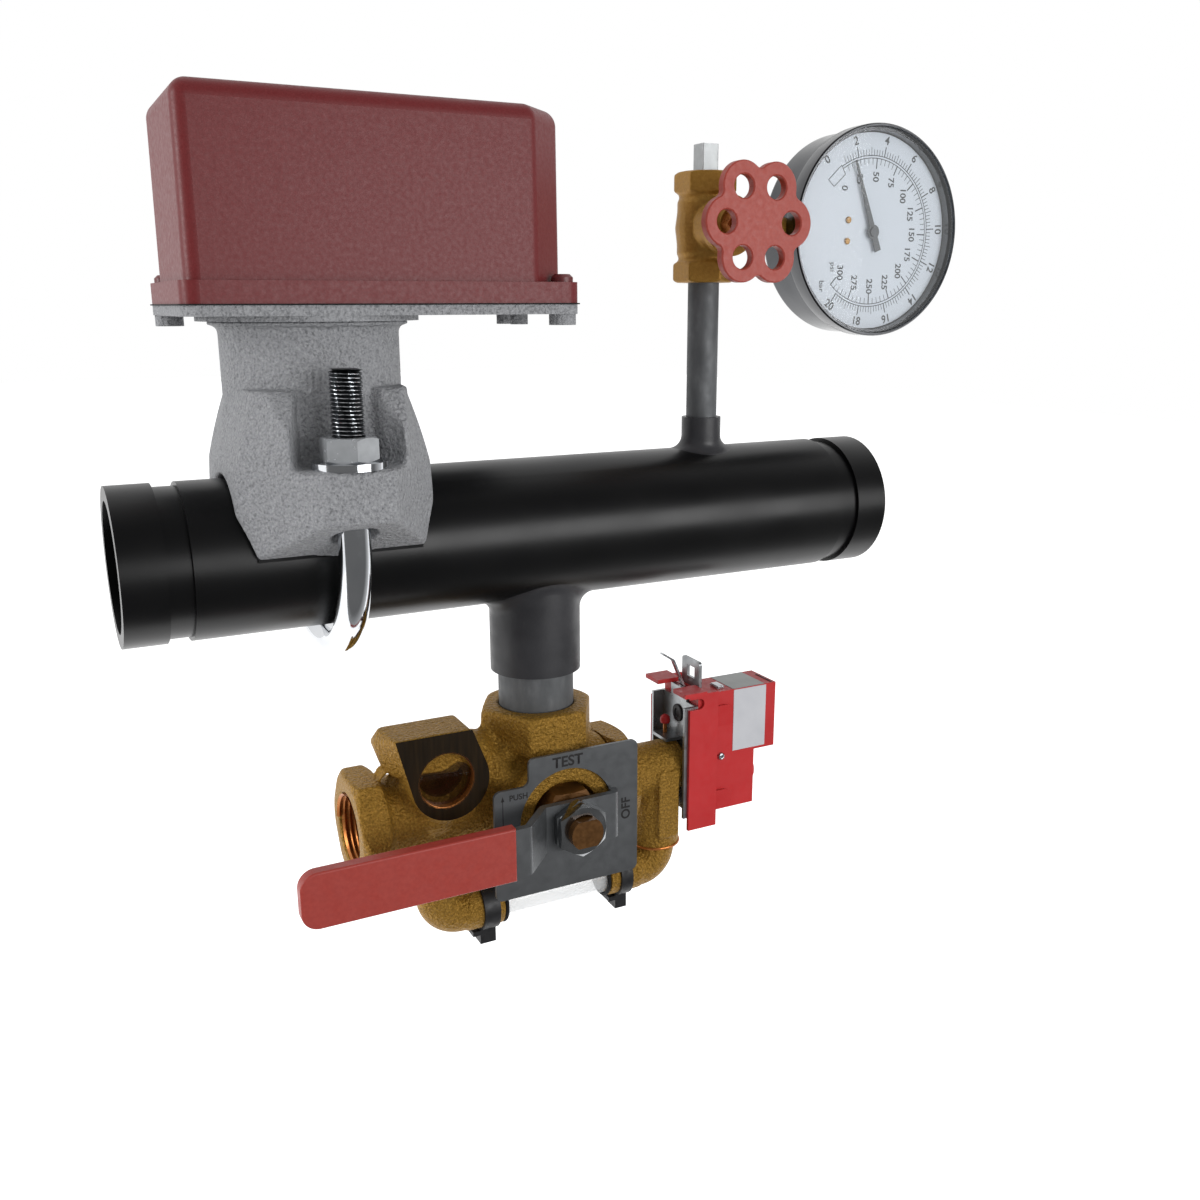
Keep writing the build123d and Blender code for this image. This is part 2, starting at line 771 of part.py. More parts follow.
def gauge_socket():
    """Brass stem of the gauge: thread, hexagon, and the block inside the case."""
    thread_start = gauge_x + port_reach - 8.5
    hex_start = gauge_x + port_reach
    case_left = dial_x - case_r
    shape = rod((thread_start, 0, valve_z), (1, 0, 0), 8.5, gauge_nipple_r)
    shape += hex_bar((hex_start, 0, valve_z), (1, 0, 0), case_left - 5 - hex_start, socket_flats, (0, 0, 1))
    shape += rod((case_left - 5, 0, valve_z), (1, 0, 0), 12, socket_r)
    inner = case_left + 4
    shape += block((inner, 1, valve_z - 7), (inner + socket_block, 13, valve_z + 7))
    return shape - rod((thread_start, 0, valve_z), (1, 0, 0), inner + 8 - thread_start, 1.6)


def gauge_case():
    """Drawn cup, open at the front, with a hole for the socket."""
    depth = case_back_y - lens_front_y - lens_thickness
    front = (dial_x, lens_front_y + lens_thickness, valve_z)
    shape = rod(front, (0, 1, 0), depth, case_r)
    shape = fillet(shape.edges().group_by(Axis.Y)[-1], 3)
    shape -= rod(front, (0, 1, 0), depth - case_wall, case_r - case_wall)
    return shape - rod((dial_x, 0, valve_z), (-1, 0, 0), case_r + 1, socket_r)


def gauge_bezel():
    """Rolled ring that clamps the lens to the case."""
    profile = [(bezel_lip_r, 0), (bezel_r - 0.6, 0), (bezel_r, 0.6), (bezel_r, bezel_skirt),
               (case_r, bezel_skirt), (case_r, lens_front_y - bezel_front_y),
               (bezel_lip_r, lens_front_y - bezel_front_y)]
    return turned((dial_x, bezel_front_y, valve_z), (0, 1, 0), profile)


def gauge_lens():
    """Flat glass on the case's rim."""
    return rod((dial_x, lens_front_y, valve_z), (0, 1, 0), lens_thickness, case_r)


def dial_post_places():
    """Two dial screws, beside the pointer's axis."""
    return [(-14, 5), (-14, -5)]


def gauge_dial():
    """Dial plate on the movement's two posts."""
    shape = rod((dial_x, dial_front_y, valve_z), (0, 1, 0), dial_thickness, dial_r)
    return shape - rod((dial_x, dial_front_y, valve_z), (0, 1, 0), dial_thickness, arbor_r + free_gap)


def gauge_movement():
    """Two brass plates on pillars, fixed to the socket's block, with posts for the dial."""
    front = block((dial_x - 34, 0, valve_z - 7), (dial_x + 12, 1, valve_z + 7))
    back = block((dial_x - 18, 9, valve_z - 7), (dial_x + 12, 10, valve_z + 7))
    shape = front + back
    for x, z in ((-16, -5), (-16, 5), (10, -5), (10, 5)):
        shape += rod((dial_x + x, 0, valve_z + z), (0, 1, 0), 10, 1.4)
    dial_back = dial_front_y + dial_thickness
    for x, z in dial_post_places():
        shape += rod((dial_x + x, dial_back, valve_z + z), (0, 1, 0), 0.5 - dial_back, 1.6)
    return shape - rod((dial_x, -1, valve_z), (0, 1, 0), 12, arbor_r + running_fit)


def bourdon_tube():
    """Flattened C-shaped tube from the socket's block, with a closed tip."""
    middle = (dial_x, bourdon_y, valve_z)
    path_plane = Plane(origin=middle, x_dir=(1, 0, 0), z_dir=(0, -1, 0))
    start_angle = 180 - 14
    arc = path_plane * CenterArc((0, 0), bourdon_r, start_angle, -bourdon_span)
    section = Plane(origin=arc @ 0, x_dir=(0, 1, 0), z_dir=arc % 0) * Ellipse(4, 1.3)
    return sweep(section, arc)


def gauge_pointer():
    """Tapered pointer on its arbor."""
    blade = Polyline((-pointer_tail, -1.7), (-pointer_tail, 1.7), (0, 1.5), (pointer_reach, 0.35),
                     (pointer_reach, -0.35), (0, -1.5), close=True)
    flat = Plane(origin=(dial_x, pointer_y + pointer_thickness, valve_z), x_dir=(-1, 0, 0), z_dir=(0, -1, 0))
    turn = Rot(0, 0, -pointer_rest)
    shape = extrude(flat * turn * (make_face(blade) + Circle(3.2)), pointer_thickness)
    shape += rod((dial_x, pointer_y - 0.8, valve_z), (0, 1, 0), 0.9, 2.2)
    return shape + rod((dial_x, pointer_y, valve_z), (0, 1, 0), 10.5 - pointer_y, arbor_r)


def drain_valve_body():
    """Cast body: inlet collar, ball chamber, outlet barrel, sight boss and stem boss."""
    right_end = tail_hex_x
    shape = turned(centre, (0, 0, 1), [(0, 0), (22, 0), (21, 18), (23, 27), (25.5, 30), (0, 30)])
    shape += hex_bar((drain_x, 0, inlet_top - inlet_hex), (0, 0, 1), inlet_hex, inlet_flats,
                     (0, 1, 0), (False, True))
    shape += Pos(*centre) * Sphere(body_r)
    barrel_start = outlet_x + outlet_hex - 1
    shape += rod((barrel_start, 0, stem_z), (1, 0, 0), drain_x - barrel_start, barrel_out_r)
    shape += hex_bar((outlet_x, 0, stem_z), (1, 0, 0), outlet_hex, outlet_flats, (0, 0, 1))
    shape += rod(centre, (1, 0, 0), right_end, 23)
    shape += rod((drain_x, stem_boss_y, stem_z), (0, 1, 0), -stem_boss_y, stem_boss_r)
    shape += sight_boss()
    leg_top = loop_top_z + 18
    shape += rod(valve_point(loop_left_x, 0, loop_top_z - 6), (0, 0, 1), leg_top - loop_top_z, branch_r)
    shape += Pos(*valve_point(loop_left_x, -8, loop_top_z + 12)) * Sphere(branch_r)
    return shape - valve_ways()


def sight_boss():
    """Boss for the sight glass: round below, flat on top, leaning a little to the left."""
    ring = Circle(sight_boss_r)
    plane = Plane(origin=(drain_x - 49.8, sight_front_y, sight_z - 1), x_dir=(1, 0, 0), z_dir=(0, -1, 0))
    top = sight_top - (sight_z - 1)
    crown = Polyline((sight_top_left + 49.8, top), (sight_top_right + 49.8, top), (0, 0), close=True)
    outline = make_hull(ring.edges() + make_face(crown).edges())
    return extrude(plane * outline, -sight_depth)


def valve_ways():
    """Everything cored and drilled out of the cast body."""
    ways = rod((drain_x, 0, inlet_top), (0, 0, -1), -stem_z + inlet_top, drain_way_r)
    ways += rod((drain_x, 0, inlet_top), (0, 0, -1), nipple_grip + 2, drain_nipple_r)
    ways += rod((drain_x - cavity_left, 0, stem_z), (1, 0, 0), cavity_left + tail_hex_x, cavity_r)
    ways += rod((outlet_x, 0, stem_z), (1, 0, 0), drain_x - outlet_x, drain_way_r)
    ways += rod((outlet_x, 0, stem_z), (1, 0, 0), outlet_thread, outlet_thread_r)
    ways += rod((drain_x, 0, stem_z), (0, -1, 0), -stem_boss_y, valve_stem_r + running_fit)
    ways += rod((drain_x, packing_y, stem_z), (0, -1, 0), packing_y - stem_boss_y, packing_r)
    ways += rod((drain_x, stem_recess_y, stem_z), (0, -1, 0), stem_recess_y - stem_boss_y, stem_recess_r)
    glass_back = sight_front_y + glass_recess + glass_thickness
    ways += rod(valve_point(sight_x, sight_front_y, sight_z), (0, 1, 0),
                glass_back - sight_front_y, sight_r)
    ways += rod(valve_point(sight_x, glass_back, sight_z), (0, 1, 0), 10, sight_r - 2.4)
    ways += rod(valve_point(sight_x, glass_back + 8, sight_z), (0, 0, -1), sight_z - stem_z, 6)
    ways += rod(valve_point(loop_left_x, 0, loop_top_z - 6), (0, 0, 1), stem_z - loop_top_z, 5)
    ways += rod(valve_point(loop_left_x, 0, loop_top_z - 6), (0, 0, 1), 8, loop_seat_r)
    return ways


def sight_glass():
    """Thick glass disc against the shoulder in its boss."""
    start = valve_point(sight_x, sight_front_y + glass_recess, sight_z)
    return rod(start, (0, 1, 0), glass_thickness, sight_r)


def ball():
    """Ball with an L-shaped way, a small test orifice and a slot for the stem."""
    shape = Pos(*centre) * Sphere(ball_r)
    shape -= rod(centre, (1, 0, 0), ball_r, ball_way_r)
    shape -= rod(centre, (0, 0, -1), ball_r, ball_way_r)
    shape -= Pos(*centre) * Sphere(ball_way_r)
    shape -= rod(centre, (0, 0, 1), ball_r, test_orifice_r)
    return shape - stem_tang(0)


def stem_tang(cut):
    """Flat tongue of the stem in the ball's slot."""
    low = valve_point(-6 - cut, -cavity_r, stem_z - 2.5 - cut)
    return block(low, valve_point(6 + cut, -ball_way_r - 0.6, stem_z + 2.5 + cut))


def ball_seats():
    """Two soft rings that the ball turns against."""
    pieces = []
    seat_outer_x = (-cavity_left, tail_hex_x - 12)
    for x, side_sign in zip(seat_outer_x, (1, -1)):
        length = abs(x) - seat_inner_x
        ring = tube(valve_point(x, 0, stem_z), (side_sign, 0, 0), length, seat_outer_r, ball_way_r)
        pieces.append(ring - Pos(*centre) * Rot(0, 0, 90) * Sphere(ball_r + running_fit))
    return Compound(children=pieces)


def valve_tailpiece():
    """Hexagon end cap that holds the seats in and carries the relief tee."""
    hex_start = (drain_x + tail_hex_x, 0, stem_z)
    shape = hex_bar(hex_start, (1, 0, 0), tail_hex, tail_flats, (0, 0, 1))
    shape += rod(hex_start, (-1, 0, 0), 12, seat_outer_r)
    shape -= rod((drain_x + tail_hex_x - 12, 0, stem_z), (1, 0, 0), 12 + tail_hex, tail_way_r)
    return shape - rod(hex_start, (1, 0, 0), tail_hex, tail_socket_r)


def double_d(y, length, clearance):
    """Round bar with a flat above and below."""
    plane = Plane(origin=(drain_x, y, stem_z), x_dir=(1, 0, 0), z_dir=(0, -1, 0))
    sketch = Circle(valve_stem_r + clearance) & Rectangle(4 * valve_stem_r, stem_flats + 2 * clearance)
    return extrude(plane * sketch, length)


def lever_back_y():
    """Back of the lever's hub strip."""
    return lever_front_y + lever_thickness


def valve_stem():
    """Stem from the ball's slot out to the lever, with two flats at its end."""
    shape = rod((drain_x, lever_back_y(), stem_z), (0, 1, 0), -ball_r - 0.4 - lever_back_y(), valve_stem_r)
    shape += stem_tang(0) & rod((drain_x, lever_back_y(), stem_z), (0, 1, 0), pipe_r, valve_stem_r)
    return shape + double_d(lever_back_y(), lever_back_y() - stem_front_y, 0)


def stem_gland():
    """Copper-alloy packing gland screwed into the stem boss."""
    start = (drain_x, stem_recess_y, stem_z)
    length = stem_recess_y - packing_front_y
    shape = hex_bar(start, (0, -1, 0), length, packing_flats, (0, 0, 1))
    shape += rod(start, (0, 1, 0), packing_y - stem_recess_y, packing_r)
    return shape - rod((drain_x, packing_y, stem_z), (0, -1, 0), packing_y - packing_front_y,
                       valve_stem_r + running_fit)


def index_plate():
    """Steel plate that shows the lever's positions, with an arched cut over the stem."""
    plane = Plane(origin=(drain_x, index_front_y + index_thickness, 0), x_dir=(1, 0, 0), z_dir=(0, -1, 0))
    corners = Polyline((index_left, index_step_z), (index_step_x, index_step_z), (index_step_x, index_top),
                       (index_right, index_top), (index_right, index_bottom), (index_left, index_bottom),
                       close=True)
    outline = make_face(corners)
    rounded = [v for v in outline.vertices() if abs(v.X - index_step_x) > 1 or v.Z > index_step_z]
    outline = fillet(rounded, 3)
    shape = extrude(plane * outline, index_thickness)
    window = Pos(0, stem_z) * Circle(index_cut_r)
    window -= Pos(0, stem_z - index_cut_r - 7) * Rectangle(3 * index_cut_r, 2 * index_cut_r)
    window += Pos(0, stem_z) * Circle(packing_flats / math.sqrt(3) + 0.5)
    return shape - extrude(plane * window, index_thickness)


def lever_line():
    """Middle line of the cranked lever, seen from above, from its tail to its far end."""
    half = lever_thickness / 2
    return FilletPolyline((lever_tail_x - half, lever_tail_y), (lever_tail_x - half, lever_front_y + half),
                          (lever_bend_in, lever_front_y + half), (lever_bend_out, lever_handle_y + half),
                          (lever_end, lever_handle_y + half), radius=2.5)


def lever():
    """Flat bar, folded at the tail and cranked forward to the handle."""
    plane = Plane(origin=(drain_x, 0, stem_z - lever_width / 2), x_dir=(1, 0, 0), z_dir=(0, 0, 1))
    strip = trace(lever_line(), lever_thickness)
    shape = extrude(plane * strip, lever_width)
    end_edges = shape.edges().filter_by(Axis.Y).group_by(Axis.X)[0]
    shape = fillet(end_edges, sleeve_corner_r - sleeve_wall)
    return shape - double_d(lever_back_y() + 1, lever_thickness + 2, running_fit)


def lever_sleeve():
    """Dipped vinyl grip over the lever's handle."""
    low = valve_point(sleeve_end, lever_handle_y - sleeve_wall, stem_z - lever_width / 2 - sleeve_wall)
    high = valve_point(sleeve_right, lever_handle_y + lever_thickness + sleeve_wall,
                       stem_z + lever_width / 2 + sleeve_wall)
    shape = block(low, high)
    shape = fillet(shape.edges().filter_by(Axis.Y).group_by(Axis.X)[0], sleeve_corner_r)
    shape = fillet(shape.edges().group_by(Axis.Y)[0], 0.8)
    return shape - lever()


def lever_nuts():
    """Hub nut and lock nut on the stem's flats."""
    pieces = []
    for step in range(2):
        start = (drain_x, lever_front_y - step * lever_nut, stem_z)
        nut = hex_bar(start, (0, -1, 0), lever_nut, lever_nut_flats, (1, 0, 0))
        pieces.append(nut - rod(start, (0, -1, 0), lever_nut, valve_stem_r))
    return Compound(children=pieces)


def relief_tee():
    """Brass tee at the valve's right end: its branch goes down to the clear tube."""
    hex_right = tail_hex_x + tail_hex
    shape = rod(valve_point(tail_hex_x, 0, stem_z), (1, 0, 0), tee_end - tail_hex_x, tail_socket_r)
    shape += rod(valve_point(hex_right, 0, stem_z), (1, 0, 0), tee_end - hex_right - 2, tee_r)
    shape += rod(valve_point(branch_x, 0, branch_bottom), (0, 0, 1), stem_z - branch_bottom, branch_r)
    pad = block(valve_point(branch_x - 5, -branch_r - 1.6, branch_bottom + 6),
                valve_point(branch_x + 6, 0, stem_z + 2))
    shape += fillet(pad.edges().filter_by(Axis.Y), 1.5)
    shape -= rod(valve_point(tail_hex_x, 0, stem_z), (1, 0, 0), tee_end - tail_hex_x, tee_way_r)
    shape -= rod(valve_point(branch_x, 0, branch_bottom), (0, 0, 1), stem_z - branch_bottom, 5)
    return shape - rod(valve_point(branch_x, 0, branch_bottom), (0, 0, 1), 8, loop_seat_r)


def elbow_bar(leg_x, leg_top, toward, socket_end, radius):
    """Round bar down a vertical leg, through a quarter bend and along to the socket's mouth."""
    bend_top = loop_z + loop_bend
    corner = leg_x + toward * loop_bend
    leg = rod((leg_x, 0, bend_top), (0, 0, 1), leg_top - bend_top, radius)
    ring = Plane(origin=(leg_x, 0, bend_top), z_dir=(0, 0, -1)) * Circle(radius)
    bend = revolve(ring, Axis((corner, 0, bend_top), (0, -toward, 0)), 90)
    run = rod((corner, 0, loop_z), (toward, 0, 0), abs(socket_end - corner), radius)
    return leg + bend + run


def loop_elbow(leg_x, leg_top, toward, socket_end, shank):
    """Street elbow: a threaded shank on top, a quarter bend, and a socket for the clear tube."""
    shape = elbow_bar(leg_x, leg_top, toward, socket_end, loop_r)
    shape += rod((socket_end, 0, loop_z), (-toward, 0, 0), socket_depth + 5, socket_out_r)
    shape += rod((leg_x, 0, leg_top), (0, 0, 1), shank, loop_seat_r)
    shape -= elbow_bar(leg_x, leg_top + shank, toward, socket_end, loop_way_r)
    shape -= rod((socket_end, 0, loop_z), (-toward, 0, 0), socket_depth, tube_r)
    return Pos(drain_x, 0, 0) * shape


def loop_elbows():
    """The two elbows at the ends of the clear tube."""
    left = loop_elbow(loop_left_x, loop_top_z - 6, 1, left_socket_end, 7)
    right = loop_elbow(branch_x, branch_bottom - 2, -1, right_socket_end, 9)
    return Compound(children=[left, right])


def clear_tube():
    """Clear sight tube between the elbows' sockets."""
    start = left_socket_end - socket_depth
    length = right_socket_end + socket_depth - start
    return tube(valve_point(start, 0, loop_z), (1, 0, 0), length, tube_r, tube_r - tube_wall)


def tube_seals():
    """O-rings at the mouths of the two sockets."""
    rings = []
    for x in (left_socket_end + seal_r, right_socket_end - seal_r):
        ring = Plane(origin=valve_point(x, 0, loop_z), z_dir=(1, 0, 0)).location * Torus(tube_r + seal_r, seal_r)
        rings.append(ring)
    return Compound(children=rings)


def tube_clips():
    """Two spring clips round the sockets, each with a lug below."""
    clips = []
    for (left, right), step_side in ((left_clip, -1), (right_clip, -1)):
        band = rod(valve_point(left, 0, loop_z), (1, 0, 0), right - left, socket_out_r + clip_wall)
        band += block(valve_point(left, -clip_lug_half, clip_lug_bottom),
                      valve_point(right, clip_lug_half, loop_z))
        band += block(valve_point(left + step_side * 3.5, -clip_lug_half, clip_lug_bottom + 4.5),
                      valve_point(left, clip_lug_half, loop_z - socket_out_r - 1))
        clips.append(band - rod(valve_point(left, 0, loop_z), (1, 0, 0), right - left, socket_out_r))
    return Compound(children=clips)


def relief_bracket():
    """Folded channel behind the tee, with a shelf pressed out of its web."""
    inner = channel_half - channel_sheet
    shape = block(valve_point(channel_front, -channel_half, channel_bottom),
                  valve_point(web_x + channel_sheet, channel_half, channel_top))
    shape -= block(valve_point(channel_front, -inner, channel_bottom), valve_point(web_x, inner, channel_top))
    shape += block(valve_point(web_x - 8.5, -3, shelf_z - channel_sheet), valve_point(web_x, 9.5, shelf_z))
    shape += block(valve_point(web_x, -7, channel_top), valve_point(web_x + channel_sheet, 7, web_lip_z))
    shape -= rod(valve_point(web_x, 0, -97), (1, 0, 0), channel_sheet, 3)
    return shape - rod(valve_point(web_x, 0, stem_z), (1, 0, 0), channel_sheet, tee_way_r)


def relief_housing():
    """Moulded housing: main body, upper block, two side cheeks and two top tabs."""
    shape = block(valve_point(housing_left, -channel_half, housing_bottom),
                  valve_point(housing_right, housing_far_y, housing_top))
    shape += block(valve_point(housing_left, -channel_half, housing_block_bottom),
                   valve_point(housing_block_right, housing_far_y, housing_top))
    shape += block(valve_point(web_x + channel_sheet, -channel_half, cheek_bottom + 5),
                   valve_point(cheek_right, channel_half, top_tab_z - 1))
    shape -= block(valve_point(web_x, -8, -89), valve_point(housing_left, 8, -78))
    for side_sign in (-1, 1):
        cheek = block(valve_point(cheek_left, channel_half, cheek_bottom),
                      valve_point(cheek_right, channel_half + cheek_sheet, top_tab_z))
        cheek -= rod(valve_point(75.8, channel_half, -87.8), (0, 1, 0), cheek_sheet, 2.6)
        cheek -= block(valve_point(cheek_left, channel_half, -90.4),
                       valve_point(75.8, channel_half + cheek_sheet, -85.2))
        near, far = (9, 20) if side_sign < 0 else (5, 17)
        cheek += block(valve_point(66, near, top_tab_z), valve_point(78, far, top_tab_z + top_tab))
        shape += cheek if side_sign > 0 else cheek.mirror(Plane.XZ)
    shape -= flush_plate(free_gap, flush_travel)
    shape -= spring_pocket()
    poppet = valve_point(web_x + channel_sheet, 0, stem_z)
    shape -= rod(poppet, (1, 0, 0), poppet_head + poppet_travel + 2, poppet_r + free_gap)
    shape -= rod(poppet, (1, 0, 0), 24, poppet_stem_r + running_fit)
    recess = valve_point(housing_right, knob_y, knob_z)
    shape -= rod(recess, (-1, 0, 0), knob_length + knob_travel - 3, knob_r + free_gap)
    return shape - rod(recess, (-1, 0, 0), 18, poppet_stem_r + running_fit)


def flush_plate(gap, lift):
    """Flush tab's plate, grown by a gap for its slot in the housing."""
    low = valve_point(flush_x - gap, -flush_half - gap, flush_foot - gap)
    return block(low, valve_point(flush_x + flush_sheet + gap, flush_half + gap, flush_top + lift))


def flush_tab():
    """Steel tab with a square window, pulled up to flush."""
    shape = flush_plate(0, 0)
    shape = fillet(shape.edges().filter_by(Axis.X).group_by(Axis.Z)[-1], 1.5)
    return shape - block(valve_point(flush_x, -3.5, -80), valve_point(flush_x + flush_sheet, 3, -74.5))


def spring_pocket():
    """Pocket in the housing for the release spring's foot."""
    x, z = spring_foot
    half = spring_width / 2 + free_gap
    return block(valve_point(x - 1.4, -half, z - free_gap), valve_point(x + 1.4, half, housing_top + 8))


def release_spring():
    """Bent spring strip that stands in the housing's pocket on a rolled eye."""
    path = FilletPolyline((spring_end[0], spring_end[1]), (spring_bend[0], spring_bend[1]),
                          (spring_foot[0], spring_foot[1]), radius=1.5)
    plane = Plane(origin=(drain_x, spring_width / 2, 0), x_dir=(1, 0, 0), z_dir=(0, -1, 0))
    strip = extrude(plane * trace(path, spring_sheet), spring_width)
    eye = valve_point(spring_foot[0], -spring_width / 2, spring_foot[1] + spring_eye_lift)
    return strip + rod(eye, (0, 1, 0), spring_width, spring_eye_r)


def relief_poppet():
    """Relief disc on its guide stem, just off its seat on the channel's web."""
    start = valve_point(web_x + channel_sheet + free_gap, 0, stem_z)
    shape = rod(start, (1, 0, 0), poppet_head, poppet_r)
    return shape + rod(start, (1, 0, 0), 18, poppet_stem_r)


def relief_knob():
    """Round push knob with a domed face and a guide stem."""
    start = valve_point(knob_front - knob_length, knob_y, knob_z)
    profile = [(0, 0), (knob_r, 0), (knob_r, knob_length - 2), (knob_r - 2, knob_length), (0, knob_length)]
    shape = turned(start, (1, 0, 0), profile)
    return shape + rod(start, (-1, 0, 0), 8, poppet_stem_r)


def trip_plunger():
    """Small plunger on the channel's shelf: a cone over a pin."""
    start = valve_point(70.5, 5.5, shelf_z)
    profile = [(0, 0), (1.1, 0), (1.1, 5), (3.4, 5.5), (3.4, 7), (1.2, 11), (0, 11)]
    return turned(start, (0, 0, 1), profile)


os.makedirs("parts", exist_ok=True)

save("riser_pipe", riser_pipe())
save("drain_outlet", welded_outlet(drain_x, -1, outlet_drop, outlet_r, outlet_weld, drain_nipple_r, drain_way_r))
save("gauge_outlet", welded_outlet(gauge_x, 1, gauge_outlet_rise, gauge_outlet_r, gauge_outlet_weld,
                                   gauge_nipple_r, gauge_way_r))
nipple_low = inlet_top - nipple_grip
nipple_high = -outlet_drop + nipple_grip
save("drain_nipple", tube((drain_x, 0, nipple_low), (0, 0, 1), nipple_high - nipple_low,
                          drain_nipple_r, drain_way_r))
gauge_low = gauge_outlet_rise - nipple_grip + 7
gauge_high = valve_bottom + hex_height
save("gauge_nipple", tube((gauge_x, 0, gauge_low), (0, 0, 1), gauge_high - gauge_low,
                          gauge_nipple_r, gauge_way_r))

save("saddle_casting", saddle_casting())
save("saddle_gasket", saddle_gasket())
save("u_bolt", u_bolt())
save("u_bolt_washers", at_both_legs(u_bolt_washer))
save("u_bolt_nuts", at_both_legs(u_bolt_nut))
save("switch_base_plate", switch_base_plate())
save("cover_gasket", cover_gasket())
save("switch_cover", switch_cover())
save("cover_screws", cover_screws())
save("base_plate_bolts", base_plate_bolts())
save("flow_vane", flow_vane())
save("vane_stem", vane_stem())
save("vane_pivot_pin", vane_pivot_pin())
save("switch_frame", switch_frame())
save("retard_unit", retard_unit())
save("retard_plunger", retard_plunger())
save("snap_switches", snap_switches())

save("gauge_valve_body", gauge_valve_body())
save("gauge_valve_bonnet", gauge_valve_bonnet())
save("gauge_valve_gland", gauge_valve_gland())
save("gauge_valve_disc", gauge_valve_disc())
save("gauge_valve_stem", gauge_valve_stem())
save("handwheel", handwheel())
save("test_port_plug", test_port_plug())
save("gauge_socket", gauge_socket())
save("gauge_case", gauge_case())
save("gauge_bezel", gauge_bezel())
save("gauge_lens", gauge_lens())
save("gauge_dial", gauge_dial())
save("gauge_movement", gauge_movement())
save("bourdon_tube", bourdon_tube())
save("gauge_pointer", gauge_pointer())

save("drain_valve_body", drain_valve_body())
save("sight_glass", sight_glass())
save("ball", ball())
save("ball_seats", ball_seats())
save("valve_tailpiece", valve_tailpiece())
save("valve_stem", valve_stem())
save("stem_gland", stem_gland())
save("index_plate", index_plate())
save("lever", lever())
save("lever_sleeve", lever_sleeve())
save("lever_nuts", lever_nuts())
save("relief_tee", relief_tee())
save("loop_elbows", loop_elbows())
save("clear_tube", clear_tube())
save("tube_seals", tube_seals())
save("tube_clips", tube_clips())
save("relief_bracket", relief_bracket())
save("relief_housing", relief_housing())
save("flush_tab", flush_tab())
save("release_spring", release_spring())
save("relief_poppet", relief_poppet())
save("relief_knob", relief_knob())
save("trip_plunger", trip_plunger())
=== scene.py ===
import math

import bmesh
import bpy
from mathutils import Matrix, Vector, geometry


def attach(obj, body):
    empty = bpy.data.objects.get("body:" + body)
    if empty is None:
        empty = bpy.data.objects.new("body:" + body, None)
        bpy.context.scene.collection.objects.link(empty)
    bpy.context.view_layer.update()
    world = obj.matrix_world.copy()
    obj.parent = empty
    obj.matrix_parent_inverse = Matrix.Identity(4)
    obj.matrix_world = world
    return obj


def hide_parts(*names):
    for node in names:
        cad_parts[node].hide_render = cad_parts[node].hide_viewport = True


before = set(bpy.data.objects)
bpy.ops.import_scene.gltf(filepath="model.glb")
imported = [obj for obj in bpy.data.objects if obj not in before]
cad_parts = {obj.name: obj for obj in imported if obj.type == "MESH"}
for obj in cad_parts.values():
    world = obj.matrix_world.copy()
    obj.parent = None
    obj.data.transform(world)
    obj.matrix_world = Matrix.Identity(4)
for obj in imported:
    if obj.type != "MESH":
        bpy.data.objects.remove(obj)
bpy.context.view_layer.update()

# Riser pipe. A length of 2 inch steel pipe in satin black enamel, with a groove rolled near each end
# for its couplings. The enamel has a faint orange peel and varies a little in its shine.
mm = 0.001


def colour(code):
    """Linear colour of a six-figure sRGB code."""
    parts = [int(code[i:i + 2], 16) / 255 for i in (0, 2, 4)]
    return [c / 12.92 if c < 0.04045 else ((c + 0.055) / 1.055) ** 2.4 for c in parts] + [1.0]


def coat(name, metal=0.0, rough=0.5, shine=0.5):
    """New material: how metallic, how rough and how strongly it reflects."""
    made = bpy.data.materials.new(name)
    made.use_nodes = True
    shader = made.node_tree.nodes["Principled BSDF"]
    shader.inputs["Metallic"].default_value = metal
    shader.inputs["Roughness"].default_value = rough
    shader.inputs["Specular IOR Level"].default_value = shine
    return made


def socket(made, name):
    """Input of a material's shader."""
    return made.node_tree.nodes["Principled BSDF"].inputs[name]


def grain(made, size, detail=3.0, stretch=(1, 1, 1)):
    """Noise with spots of a size in metres, in the piece's own space."""
    tree = made.node_tree
    place = tree.nodes.new("ShaderNodeTexCoord")
    fit = tree.nodes.new("ShaderNodeMapping")
    fit.inputs["Scale"].default_value = stretch
    noise = tree.nodes.new("ShaderNodeTexNoise")
    noise.inputs["Scale"].default_value = 1 / size
    noise.inputs["Detail"].default_value = detail
    tree.links.new(place.outputs["Object"], fit.inputs["Vector"])
    tree.links.new(fit.outputs["Vector"], noise.inputs["Vector"])
    return noise.outputs["Fac"]


def tint(made, pattern, stops):
    """Base colour from a pattern: each stop is a place from 0 to 1 and a colour code."""
    ramp = made.node_tree.nodes.new("ShaderNodeValToRGB")
    marks = ramp.color_ramp.elements
    while len(marks) < len(stops):
        marks.new(0.5)
    for mark, (place, code) in zip(marks, stops):
        mark.position = place
        mark.color = colour(code)
    made.node_tree.links.new(pattern, ramp.inputs["Fac"])
    made.node_tree.links.new(ramp.outputs["Color"], socket(made, "Base Color"))


def wear(made, pattern, low, high):
    """Roughness that follows a pattern."""
    spread = made.node_tree.nodes.new("ShaderNodeMapRange")
    spread.inputs["From Min"].default_value = 0.3
    spread.inputs["From Max"].default_value = 0.7
    spread.inputs["To Min"].default_value = low
    spread.inputs["To Max"].default_value = high
    made.node_tree.links.new(pattern, spread.inputs["Value"])
    made.node_tree.links.new(spread.outputs["Result"], socket(made, "Roughness"))


